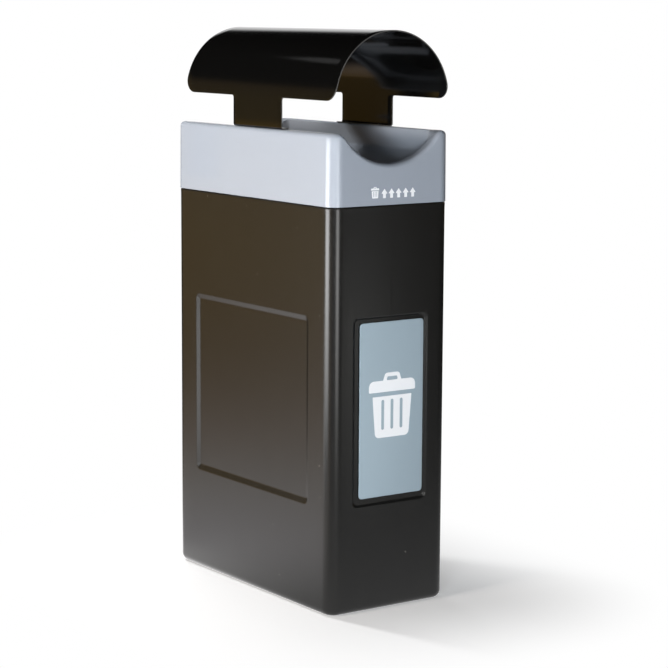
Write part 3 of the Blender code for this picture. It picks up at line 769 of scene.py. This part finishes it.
def canopyBlank():
    # the sheet before it is rolled: x along the roll from the crown, y along the can
    c, edge = canopy, canopy["edgeRound"]
    arcRun, bendRun = rollRadius * rightAngle, c["footBend"] * rightAngle
    legRun = c["legRise"] - c["footTop"] - c["footBend"]
    half, middle = (canopyHigh.y - canopyLow.y) / 2 - edge, (canopyHigh.y + canopyLow.y) / 2
    hood, corner = arcRun - c["sideHeight"] - edge, c["corner"] - edge
    legHalf, fillet = c["legWidth"] / 2 - edge, c["legFillet"] + edge
    legLine, bendStart = legHalf + fillet, arcRun + legRun
    foot, footCorner = bendStart + bendRun + c["footDepth"] - c["footBend"] - edge, c["footCorner"] - edge
    hoodRows = [((hood - corner) * step / c["hoodRows"], half) for step in range(c["hoodRows"] + 1)]
    for a in quarter(c["cornerRows"], 1):
        hoodRows.append((hood - corner + corner * math.sin(a), half - corner + corner * math.cos(a)))
    legRows = []
    for a in quarter(c["filletRows"], 1):
        legRows.append((hood + fillet * (1 - math.cos(a)), legHalf + fillet * (1 - math.sin(a))))
    for step in range(1, c["legRows"] + 1):
        legRows.append((hood + fillet + (bendStart - hood - fillet) * step / c["legRows"], legHalf))
    legRows += [(bendStart + bendRun * step / c["bendRows"], legHalf) for step in range(1, c["bendRows"] + 1)]
    for a in quarter(c["footRows"]):
        along = foot - footCorner + footCorner * math.sin(a)
        legRows.append((along, legHalf - footCorner * (1 - math.cos(a))))
    bm = bmesh.new()

    def columns(reach):
        return [reach * (2 * step / c["legColumns"] - 1) for step in range(c["legColumns"] + 1)]

    def addRow(along, ys):
        return [bm.verts.new((along, middle + y, 0)) for y in ys]

    def bridge(first, second):
        for i in range(len(first) - 1):
            bm.faces.new((first[i], second[i], second[i + 1], first[i + 1]))

    rows, count = [], c["hoodColumns"]
    for along, reach in [(-along, reach) for along, reach in reversed(hoodRows[1:])] + hoodRows:
        outer = [legLine + (reach - legLine) * step / count for step in range(1, count + 1)]
        rows.append(addRow(along, [-y for y in reversed(outer)] + columns(legLine) + outer))
    for first, second in zip(rows, rows[1:]):
        bridge(first, second)
    last, before = [row[count:count + c["legColumns"] + 1] for row in (rows[-1], rows[0])]
    for along, reach in legRows:
        ahead = addRow(along, columns(reach))
        bridge(last, ahead)
        behind = addRow(-along, columns(reach))
        bridge(behind, before)
        last, before = ahead, behind
    return thickened(bm, c["thickness"], edge), legRun


def rolledSheetTree():
    # rolls a flat sheet round Y, runs it straight down and folds its feet in; z is the depth in the sheet
    tree, given, result = newTree(
        "rolled sheet", "GeometryNodeTree",
        {
            "Geometry": ["Geometry"], "Float": ["Radius", "Springline", "Leg Run", "Fold Radius"],
            "Material": ["Sheet Material", "Edge Material"],
        },
        {"Geometry": ["Geometry"]},
    )
    calc = treeMath(tree)
    place = addNode(tree, "GeometryNodeInputPosition")[0]
    along, y, depth = addNode(tree, "ShaderNodeSeparateXYZ", (place,))
    radius, fold = given["Radius"], given["Fold Radius"]
    left = calc("ABSOLUTE", along)
    arcRun, bendRun = calc("MULTIPLY", radius, rightAngle), calc("MULTIPLY", fold, rightAngle)
    angle = calc("DIVIDE", calc("MINIMUM", left, arcRun), radius)
    pastArc = calc("MAXIMUM", calc("SUBTRACT", left, arcRun), 0)
    legPart = calc("MINIMUM", pastArc, given["Leg Run"])
    pastLeg = calc("MAXIMUM", calc("SUBTRACT", pastArc, given["Leg Run"]), 0)
    bend = calc("DIVIDE", calc("MINIMUM", pastLeg, bendRun), fold)
    footPart = calc("MAXIMUM", calc("SUBTRACT", pastLeg, bendRun), 0)
    reach, foldReach = calc("ADD", radius, depth), calc("ADD", fold, depth)
    foldedIn = calc("MULTIPLY", foldReach, calc("SUBTRACT", 1, calc("COSINE", bend)))
    across = calc("SUBTRACT", calc("MULTIPLY", reach, calc("SINE", angle)), foldedIn)
    across = calc("MULTIPLY", calc("SIGN", along), calc("SUBTRACT", across, footPart))
    height = calc("MULTIPLY_ADD", reach, calc("COSINE", angle), given["Springline"])
    foldedDown = calc("MULTIPLY", foldReach, calc("SINE", bend))
    height = calc("SUBTRACT", calc("SUBTRACT", height, legPart), foldedDown)
    joined = addNode(tree, "ShaderNodeCombineXYZ", (across, y, height))[0]
    shape = addNode(tree, "GeometryNodeSetPosition", {"Geometry": given["Geometry"], "Position": joined})[0]
    shape = addNode(tree, "GeometryNodeRealizeInstances", (shape,))[0]
    # the rim faces are the sheet's edges; their material's lighter colour is a painted highlight
    rim = addNode(tree, "GeometryNodeInputNamedAttribute", {"Name": "rim"})["Attribute"]
    for label, chosen in (("Sheet", {}), ("Edge", {"Selection": rim})):
        inputs = {"Geometry": shape, "Material": given[label + " Material"], **chosen}
        shape = addNode(tree, "GeometryNodeSetMaterial", inputs)[0]
    feed(tree, result["Geometry"], shape)
    return tree


def makeCanopy():
    blank, legRun = canopyBlank()
    piece = addPiece("canopy_sheet", blank)
    runTree(piece, rolledSheetTree(), {
        "Radius": rollRadius, "Springline": lidHigh.z + canopy["legRise"], "Leg Run": legRun,
        "Fold Radius": canopy["footBend"], "Sheet Material": canopySheet, "Edge Material": canopyEdgeHighlight,
    })
    settle(piece, "lid", ["canopy"])


makeCanopy()
print("canopy ready")


# Fasteners, repeated by a node tree

screw = sizes(
    {"spin": 3.0, "seed": 3},
    shank=2.5, tip=0.4, tipLength=0.5, head=4.75, headHeight=3, headEdge=0.5, socket=3, socketDepth=1.7,
)
nut = sizes(across=8, height=4, bore=2.7, chamfer=0.5, clear=0.2)


def repeatTree():
    tree, given, result = newTree(
        "repeated shape", "GeometryNodeTree",
        {"Geometry": ["Geometry"], "Object": ["Shape"], "Float": ["Spin"], "Material": ["Finish"]},
        {"Geometry": ["Geometry"]},
    )
    shape = addNode(tree, "GeometryNodeObjectInfo", {"Object": given["Shape"], "As Instance": True})
    draw = {3: given["Spin"], "Seed": screw["seed"]}
    turn = addNode(tree, "FunctionNodeRandomValue", draw, data_type="FLOAT")[1]
    spin = addNode(tree, "ShaderNodeCombineXYZ", {"Z": turn})[0]
    copies = addNode(tree, "GeometryNodeInstanceOnPoints", {
        "Points": given["Geometry"], "Instance": shape["Geometry"], "Rotation": spin,
    })[0]
    copies = addNode(tree, "GeometryNodeRealizeInstances", (copies,))[0]
    coated = addNode(tree, "GeometryNodeSetMaterial", {"Geometry": copies, "Material": given["Finish"]})[0]
    feed(tree, result["Geometry"], coated)
    return tree


repeatedShape = repeatTree()


def repeatAt(name, shape, places, material, body, nodes, spin=0.0):
    bm = bmesh.new()
    for place in places:
        bm.verts.new(place)
    piece = addPiece(name, bm)
    runTree(piece, repeatedShape, {"Shape": shape, "Spin": spin, "Finish": material})
    bpy.data.objects.remove(shape)
    settle(piece, body, nodes)


def numbered(stem):
    return [f"{stem}_{number}" for number in range(1, 5)]


def middleOf(node):
    low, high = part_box(node)
    return (low + high) / 2


def dome(radius, height, start):
    pole = 0.02 * mm
    return [(max(radius * math.cos(a), pole), start + height * math.sin(a)) for a in quarter(8)]


def hexagon(across, low, high):
    return turned([(across / math.sqrt(3), low), (across / math.sqrt(3), high)], 6)


def makeScrews():
    s = screw
    low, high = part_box("canopy_screw_1")
    head, top = high.z - s["headHeight"] - s["headEdge"], high.z - lidHigh.z
    profile = [(s["shank"] - s["tip"], low.z), (s["shank"], low.z + s["tipLength"])]
    profile += [(s["shank"], head), (s["head"], head)]
    profile += dome(s["head"], s["headHeight"], head + s["headEdge"])
    shape = addPiece("screw_shape", turned([(radius, z - lidHigh.z) for radius, z in profile]))
    carve(shape, "DIFFERENCE", hexagon(s["socket"], top - s["socketDepth"], top + mm))
    nodes = numbered("canopy_screw")
    places = [(middleOf(node).x, middleOf(node).y, lidHigh.z) for node in nodes]
    repeatAt("canopy_screws", shape, places, blackZinc, "lid", nodes, s["spin"])


def makeNuts():
    n = nut
    corner, chamfer, height = n["across"] / math.sqrt(3), n["chamfer"], n["height"]
    shape = addPiece("nut_shape", hexagon(n["across"], -height, 0))
    soft = turned([
        (corner - chamfer, -height - tiny), (corner + n["clear"], -height + chamfer),
        (corner + n["clear"], -chamfer), (corner - chamfer, tiny),
    ])
    carve(shape, "INTERSECT", soft)
    carve(shape, "DIFFERENCE", turned([(n["bore"], -2 * height), (n["bore"], height)]))
    nodes = numbered("canopy_nut")
    places = [(middleOf(node).x, middleOf(node).y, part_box(node)[1].z) for node in nodes]
    repeatAt("canopy_nuts", shape, places, blackZinc, "lid", nodes, screw["spin"])


makeScrews()
makeNuts()
print("canopy fixings ready")


# Hinges

hinge = sizes(
    {"knuckleSteps": 40},
    leafHalf=35, leafHeight=46, thickness=2.5, corner=5, knuckle=4.2, clearance=0.5, knuckleHalf=15,
    gap=0.3, bore=2.3, pin=1.95, pinHead=3.2, pinHeadLength=1.6, edgeRound=0.3, rivetX=23.1, rivetZ=32.2,
    rivetHole=2.7, tongue=2.5,
)
rivet = sizes(
    head=4.5, headHeight=2, headEdge=0.4, shank=2.4, tail=3.8, tailLength=3,
    pitFoot=1.1, pitTop=1.2, pitDepth=0.5,
)
axisY, axisZ = (pinLow.y + pinHigh.y) / 2, (pinLow.z + pinHigh.z) / 2


def alongAxis(bm):
    return moved(bm, Matrix.Rotation(rightAngle, 4, "Y"))


def knuckleBar(start, end, radius):
    return alongAxis(turned([(radius, start), (radius, end)], hinge["knuckleSteps"]))


def leafShape(name, outline, innerY, bars, holeZ, extra=None):
    # a leaf about the hinge axis: a plate with its knuckles, bored for the pin and drilled for rivets
    g = hinge
    half = g["leafHalf"]
    plate = thickened(flatFace(roundedOutline(outline)), g["thickness"], g["edgeRound"])
    moved(plate, standing(2, 0, innerY - axisY + g["thickness"], 0))
    shape = addPiece(name, plate)
    for start, end in bars:
        carve(shape, "UNION", knuckleBar(start, end, g["knuckle"]))
    if extra:
        carve(shape, "UNION", extra)
    carve(shape, "DIFFERENCE", knuckleBar(-2 * half, 2 * half, g["bore"]))
    for side in (-1, 1):
        drill = turned([(g["rivetHole"], -half), (g["rivetHole"], half)])
        carve(shape, "DIFFERENCE", moved(drill, standing(0, side * g["rivetX"], 0, holeZ)))
    return shape


def makeHinges():
    g = hinge
    edge, half, middle, gap = g["edgeRound"], g["leafHalf"], g["knuckleHalf"], g["gap"]
    notch, rise = g["knuckle"] + g["clearance"] + edge, g["leafHeight"] - edge
    outer, corner, inner = half - edge, g["corner"] - edge, middle + gap
    places = [(side * middleOf("hinge_leaf_body_right").x, axisY, axisZ) for side in (-1, 1)]

    def place(name, shape, material, body, stem):
        nodes = [f"{stem}_{side}" for side in ("left", "right")]
        repeatAt(name, shape, places, material, body, nodes)

    outline = [(outer, -rise, corner), (outer, -edge, 0), (inner + edge, -edge, 0), (inner + edge, -notch, 0)]
    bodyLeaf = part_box("hinge_leaf_body_left")
    bars = [(-half, -inner), (inner, half)]
    shape = leafShape("body_leaf", mirrored(outline), bodyLeaf[0].y, bars, -g["rivetZ"])
    place("hinge_leaves_body", shape, powderCoat, "housing", "hinge_leaf_body")
    outline = [(middle - edge, edge, 0), (middle - edge, notch, 0), (outer, notch, 0), (outer, rise, corner)]
    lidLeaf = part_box("hinge_leaf_lid_left")
    length = lidLeaf[1].y - axisY
    blank = rectangle(2 * middle - 2 * gap - 2 * edge, length - edge, 0)
    tongue = thickened(flatFace(blank), g["tongue"], edge)
    moved(tongue, Matrix.Translation((0, length / 2 - edge / 2, g["tongue"] / 2)))
    bars = [(-middle, middle)]
    shape = leafShape("lid_leaf", mirrored(outline), lidHigh.y + gap, bars, g["rivetZ"], tongue)
    place("hinge_leaves_lid", shape, powderCoat, "lid", "hinge_leaf_lid")
    end, head = half + gap, g["pinHead"]
    tip = end + g["pinHeadLength"]
    upper = [(g["pin"], end), (head, end), (head, tip - edge), (head - edge, tip)]
    rows = [(radius, -z) for radius, z in reversed(upper)] + upper
    place("hinge_pins", addPiece("pin_shape", alongAxis(turned(rows))), zinc, "housing", "hinge_pin")


def makeRivets(owner, body, faceY, wall):
    r, g = rivet, hinge
    head, tail = g["gap"] + g["thickness"], -2 * g["gap"] - wall
    profile = [
        (r["shank"], tail - r["tailLength"]), (r["tail"], tail - r["tailLength"] / 2), (r["tail"], tail),
        (r["shank"], tail), (r["shank"], head), (r["head"], head),
    ]
    profile += dome(r["head"], r["headHeight"], head + r["headEdge"])
    shape = addPiece("rivet_shape", moved(turned(profile), standing(2, 0, 0, 0)))
    pit = turned([
        (r["pitFoot"], head + r["headHeight"] - r["pitDepth"]), (r["pitTop"], head + 2 * r["headHeight"]),
    ])
    carve(shape, "DIFFERENCE", moved(pit, standing(2, 0, 0, 0)))
    nodes = numbered(f"{owner}_rivet")
    places = [(middleOf(node).x, faceY, middleOf(node).z) for node in nodes]
    repeatAt(f"{owner}_rivets", shape, places, rivetMetal, body, nodes)


makeHinges()
makeRivets("body", "housing", bodyHigh.y + hinge["gap"], housing["wall"])
makeRivets("lid", "lid", lidHigh.y + hinge["gap"], lid["wall"] + hinge["gap"])
print("hinges ready")


# Liner and bag ring

liner = sizes(
    {"cornerSteps": 14, "filletSteps": 8, "soft": 0.3, "shares": (0.2, 0.4, 0.6, 0.8)},
    wall=3, rimWidth=12, rimLip=14, draft=8, fillet=14, corner=22, edgeRound=1.2,
)
bagRing = sizes({"steps": 14}, radius=2.3)


def plainRing(halfX, halfY, radius, z):
    outline = rectangle(2 * halfX, 2 * halfY, max(radius, mm), liner["cornerSteps"])
    return [(p.x, p.y, z) for p in outline]


def makeLiner():
    n = liner
    top, base = linerHigh.z, linerLow.z
    outer, wall, edge = n["rimWidth"], n["wall"], n["edgeRound"]
    inner, lip, soft = outer + wall, top - n["rimLip"], edge * n["soft"]

    def level(inset, z, radius=n["corner"]):
        inset += n["draft"] * (top - z) / (top - base)
        return plainRing(linerHigh.x - inset, linerHigh.y - inset, radius, z)

    rings = []
    for inset, rise in roundSteps(n["fillet"], n["filletSteps"]):
        rings.append(level(outer + inset, base + rise, n["corner"] - inset))
    rings += [level(outer, base + (top - base) * share) for share in n["shares"]]
    rings += [level(inset, z) for inset, z in (
        (outer, top - wall), (wall, top - wall), (wall, lip), (0, lip), (0, top - edge), (soft, top - soft),
        (edge, top), (inner - edge, top), (inner - soft, top - soft), (inner, top - edge),
    )]
    rings += [level(inner, base + (top - base) * share) for share in reversed(n["shares"])]
    for inset, rise in roundSteps(n["fillet"] - wall, n["filletSteps"], False):
        rings.append(level(inner + inset, base + wall + rise, n["corner"] - wall - inset))
    piece = addPiece("liner", loft(rings), linerPlastic)
    settle(piece, "housing", ["inner_liner"])


def makeBagRing():
    low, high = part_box("bag_ring")
    radius, steps = bagRing["radius"], bagRing["steps"]
    rings = []
    for step in range(steps):
        angle = 4 * rightAngle * step / steps
        out, z = radius * math.cos(angle), ((low + high) / 2).z + radius * math.sin(angle)
        rings.append(plainRing(high.x - radius + out, high.y - radius + out, liner["corner"] + out, z))
    piece = addPiece("bag_ring_bar", loft(rings, "joined"), zinc)
    settle(piece, "housing", ["bag_ring"])


makeLiner()
makeBagRing()
print("liner ready")


# Stage, light and camera

stage = {
    "floorHalf": 20.0, "floorDrop": 0.3 * mm, "floorShade": 0.82, "floorRoughness": 0.9,
    "whiteFrom": 0.02, "whiteTo": 0.5, "lift": 0.3, "floorGlow": 0.16,
    # the lit side of the floor lies behind the can on its left
    "litFrom": (0.075, -0.13), "litTo": (-0.275, 0.476),
    # straight behind it the floor goes dark
    "darkFrom": (0.045, 0.021), "darkTo": (0.36, 0.17), "behindFrom": (0, 0.4), "behindTo": (0, 0.9),
    "darkShare": 0.96,
    # what gloss sees of the floor on its lit and its dim side: distance from the can, shade
    "litTones": (
        (0, (2.3, 2.26, 2.26)), (0.15, (1.5, 1.46, 1.48)), (0.3, (1.3, 1.25, 1.27)),
        (0.9, (1.02, 0.95, 0.88)), (1.3, (0.84, 0.7, 0.6)), (1.9, (0.61, 0.45, 0.31)),
        (2.5, (0.5, 0.34, 0.18)), (3.2, (0.43, 0.28, 0.11)), (7, (0.2, 0.14, 0.05)),
    ),
    "dimTones": ((0, 0.6), (0.4, 0.45), (0.9, 0.31), (1.4, 0.2), (2.1, 0.12), (3, 0.04), (5, 0.02)),
    "toneReach": 9.0,
    # what gloss sees of the room: height on the sphere, shade
    "roomTones": (
        (0, (0.19, 0.14, 0.06)), (0.13, (0.14, 0.1, 0.05)), (0.19, (0.06, 0.05, 0.025)), (0.25, 0.001),
    ),
    "ambient": (0.08, 0.083, 0.088),
    "backWay": (0.574, 0.819, 0), "backFrom": 0.88, "backTo": 0.97, "backTop": 0.38, "backFull": 0.27,
}
cards = {
    # upright cards that only gloss sees: the point they face, azimuth from it, distance, width, foot, top,
    # strength, shades by height
    "left card": (
        (-0.13, -0.29), -102, 1.2, 0.72, 0, 1.0, 13,
        ((0, 0), (0.15, 0.06), (0.275, 0.34), (0.49, 0.66), (0.67, 1), (0.8, 0.8)),
    ),
    "front card": (
        (-0.13, -0.29), -14, 1.5, 0.62, 0, 1.0, 7,
        ((0, 0.06), (0.09, 0.14), (0.22, 0.32), (0.45, 0.72), (0.64, 0.84), (0.8, 0.8)),
    ),
    "right card": (
        (-0.115, -0.311), 36, 1.0, 0.14, 0, 1.0, 1.3,
        ((0, 0.3), (0.2, (0.6, 0.6, 0.58)), (0.42, (1, 1, 0.96)), (0.57, (0.68, 0.68, 0.66)),
        (0.75, 0.36), (0.95, 0.2)),
    ),
    "brown board": (
        (-0.409, -0.159), -148, 3.0, 2.0, 0, 1.85, 0.62,
        ((0, (0.7, 0.43, 0.14)), (0.2, (0.66, 0.4, 0.08)), (0.6, (0.86, 0.52, 0.1)),
        (0.9, (0.31, 0.22, 0.08)), (1.5, (0.26, 0.18, 0.08)), (1.85, 0)),
    ),
    "bevel card": ((-0.157, 0.6), -90, 1.15, 0.36, 0, 0.5, 2.7, ((0, 1), (0.5, 1))),
    # two small ones beside the lid, for the inside of the canopy
    "dark flag": ((0, 0.265), -90, 0.2, 0.13, 0.9, 1.085, 0, ((0, 0), (1, 0))),
    "dim flag": ((0, 0.54), -90, 0.2, 0.42, 0.9, 1.085, 0.26, ((0, (0.8, 0.5, 0.15)), (1, (0.8, 0.5, 0.15)))),
}
view = {
    "position": (-2.7432, -3.9884, 1.2898), "azimuth": -35.209, "elevation": 8.5544, "roll": 0.3277,
    "lens": 117.34, "sensor": 36, "reach": 100,
}
lamps = {
    # azimuth from the front, elevation, distance, width, height, power, colour, seen by gloss
    "key": (-82, 7, 3.0, 0.7, 0.4, 51, (1, 0.92, 0.85), False),
    "left panel": (-106, -7, 3.0, 1.3, 0.6, 17, (1, 0.93, 0.87), False),
    "front strip": (-42, -3, 4.4, 1.0, 1.1, 157, (0.9, 0.95, 1), False),
    "rear box": (172, 12, 3.0, 1.6, 1.2, 30, (1, 1, 1), False),
    "rear lamp": (-157.9, 44, 2.22, 0.22, 0.14, 32, (1, 1, 1), False),
    "rear glint": (-157.9, 44, 2.2, 0.22, 0.14, 0.028, (1, 1, 1), True),
}
lampTarget = Vector((0, 0, 0.75))


def wayTo(azimuth, elevation=0):
    # from the can outwards, azimuth from the front
    a, e = math.radians(azimuth), math.radians(elevation)
    return Vector((math.sin(a) * math.cos(e), -math.cos(a) * math.cos(e), math.sin(e)))


def rightOf(azimuth):
    a = math.radians(azimuth)
    return Vector((math.cos(a), math.sin(a), 0))


def spread(tree, value, low, high):
    # 0 at low to 1 at high
    inputs = {"Value": value, "From Min": low, "From Max": high}
    return addNode(tree, "ShaderNodeMapRange", inputs, interpolation_type="SMOOTHSTEP")[0]


def tones(tree, value, steps, reach=1.0):
    # a ramp with its places given in the unit of the value
    node = tree.nodes.new("ShaderNodeValToRGB")
    tree.links.new(value, node.inputs[0])
    band = node.color_ramp.elements
    for number, (place, shade) in enumerate(steps):
        step = band[number] if number < 2 else band.new(place / reach)
        step.position, step.color = place / reach, rgba(shade)
    return node.outputs[0]


def towards(tree, place, way):
    return addNode(tree, "ShaderNodeVectorMath", (place, way), operation="DOT_PRODUCT")["Value"]


def makeFloor():
    half, reach = stage["floorHalf"], stage["toneReach"]
    material, tree = newMaterial("pale floor")
    calc = treeMath(tree)
    shader = tree.nodes["Principled BSDF"]
    shader.inputs["Base Color"].default_value = rgba(stage["floorShade"])
    shader.inputs["Roughness"].default_value = stage["floorRoughness"]
    shader.inputs["Specular IOR Level"].default_value = 0
    place = addNode(tree, "ShaderNodeTexCoord")["Object"]
    parts = addNode(tree, "ShaderNodeSeparateXYZ", (place,))
    outX, outY = [
        calc("MAXIMUM", calc("SUBTRACT", calc("ABSOLUTE", part), edge), 0)
        for part, edge in ((parts[0], bodyHigh.x), (parts[1], bodyHigh.y))
    ]
    away = calc("SQRT", calc("ADD", calc("MULTIPLY", outX, outX), calc("MULTIPLY", outY, outY)))
    away = calc("DIVIDE", away, reach)
    path = addNode(tree, "ShaderNodeLightPath")
    own = calc("MULTIPLY", path["Is Camera Ray"], stage["lift"])
    own = calc("MULTIPLY_ADD", path["Is Diffuse Ray"], stage["floorGlow"], own)
    lift = addNode(tree, "ShaderNodeEmission", {"Strength": own})[0]
    lit = addNode(tree, "ShaderNodeAddShader", (shader.outputs[0], lift))[0]

    def across(first, second):
        near, far = [Vector((*stage[key], 0)) for key in (first, second)]
        way = (far - near) / (far - near).length_squared
        return spread(tree, towards(tree, place, way), near.dot(way), far.dot(way))

    bright = across("litFrom", "litTo")
    dark = calc("MULTIPLY", across("darkFrom", "darkTo"), across("behindFrom", "behindTo"))
    shaded = calc("MULTIPLY_ADD", dark, -stage["darkShare"], 1)
    dimSide, litSide = [tones(tree, away, stage[key], reach) for key in ("dimTones", "litTones")]
    seen = mixColour(tree, bright, dimSide, litSide)
    glow = addNode(tree, "ShaderNodeEmission", {"Color": seen, "Strength": shaded})[0]
    pale = spread(tree, away, stage["whiteFrom"] / reach, stage["whiteTo"] / reach)
    whiteShare = calc("MULTIPLY", pale, path["Is Camera Ray"])
    white = addNode(tree, "ShaderNodeEmission")[0]
    shown = addNode(tree, "ShaderNodeMixShader", (whiteShare, lit, white))[0]
    shown = addNode(tree, "ShaderNodeMixShader", (path["Is Glossy Ray"], shown, glow))[0]
    feed(tree, tree.nodes["Material Output"].inputs[0], shown)
    bm = flatFace([(-half, -half), (half, -half), (half, half), (-half, half)])
    floor = addPiece("floor", moved(bm, Matrix.Translation((0, 0, -stage["floorDrop"]))), material)


def makeCards():
    for name, (point, azimuth, distance, width, foot, height, strength, steps) in cards.items():
        middle = Vector((*point, foot)) + wayTo(azimuth) * distance
        half, rise = rightOf(azimuth) * width / 2, Vector((0, 0, height - foot))
        bm = bmesh.new()
        corners = (middle + half, middle - half, middle - half + rise, middle + half + rise)
        bm.faces.new([bm.verts.new(corner) for corner in corners])
        material, tree = newMaterial(name)
        place = addNode(tree, "ShaderNodeTexCoord")["Object"]
        z = addNode(tree, "ShaderNodeSeparateXYZ", (place,))["Z"]
        shade = tones(tree, treeMath(tree)("DIVIDE", z, height), steps, height)
        glow = addNode(tree, "ShaderNodeEmission", {"Color": shade, "Strength": strength})[0]
        feed(tree, tree.nodes["Material Output"].inputs[0], glow)
        card = addPiece(name.replace(" ", "_"), bm, material)
        for ray in ("camera", "diffuse", "transmission", "volume_scatter", "shadow"):
            setattr(card, "visible_" + ray, False)


def makeWorld():
    world = bpy.data.worlds.new("studio")
    bpy.context.scene.world = world
    world.use_nodes = True
    tree = world.node_tree
    calc = treeMath(tree)
    path = addNode(tree, "ShaderNodeLightPath")
    way = addNode(tree, "ShaderNodeTexCoord")["Generated"]
    z = addNode(tree, "ShaderNodeSeparateXYZ", (way,))["Z"]
    room = tones(tree, z, stage["roomTones"])
    behind = spread(tree, towards(tree, way, stage["backWay"]), stage["backFrom"], stage["backTo"])
    below = calc("SUBTRACT", 1, spread(tree, z, stage["backFull"], stage["backTop"]))
    room = mixColour(tree, calc("MULTIPLY", behind, below), room, rgba(1))
    ambient = mixColour(tree, path["Is Glossy Ray"], rgba(stage["ambient"]), room)
    pale = calc("MAXIMUM", path["Is Camera Ray"], path["Is Transmission Ray"])
    feed(tree, tree.nodes["Background"].inputs["Color"], mixColour(tree, pale, ambient, rgba(1)))


def makeLamps():
    for name, (azimuth, elevation, distance, width, height, power, colour, glossy) in lamps.items():
        data = bpy.data.lights.new(name, "AREA")
        data.color = colour
        data.shape = "RECTANGLE"
        data.size, data.size_y, data.energy = width, height, power
        way = wayTo(azimuth, elevation)
        lamp = bpy.data.objects.new(name, data)
        lamp.location = lampTarget + way * distance
        lamp.rotation_mode = "QUATERNION"
        lamp.rotation_quaternion = way.to_track_quat("Z", "Y")
        lamp.visible_glossy = glossy
        bpy.context.scene.collection.objects.link(lamp)


def makeCamera():
    data = bpy.data.cameras.new("camera")
    data.lens, data.sensor_width, data.clip_end = view["lens"], view["sensor"], view["reach"]
    back, right = wayTo(view["azimuth"], view["elevation"]), rightOf(view["azimuth"])
    up, roll = back.cross(right), math.radians(view["roll"])
    turnedRight = math.cos(roll) * right + math.sin(roll) * up
    turnedUp = math.cos(roll) * up - math.sin(roll) * right
    camera = bpy.data.objects.new("camera", data)
    facing = Matrix((turnedRight, turnedUp, back)).transposed().to_4x4()
    camera.matrix_world = Matrix.Translation(view["position"]) @ facing
    bpy.context.scene.collection.objects.link(camera)
    bpy.context.scene.camera = camera


makeFloor()
makeCards()
makeWorld()
makeLamps()
makeCamera()
bpy.context.scene.view_settings.view_transform = "Standard"
print("stage ready")
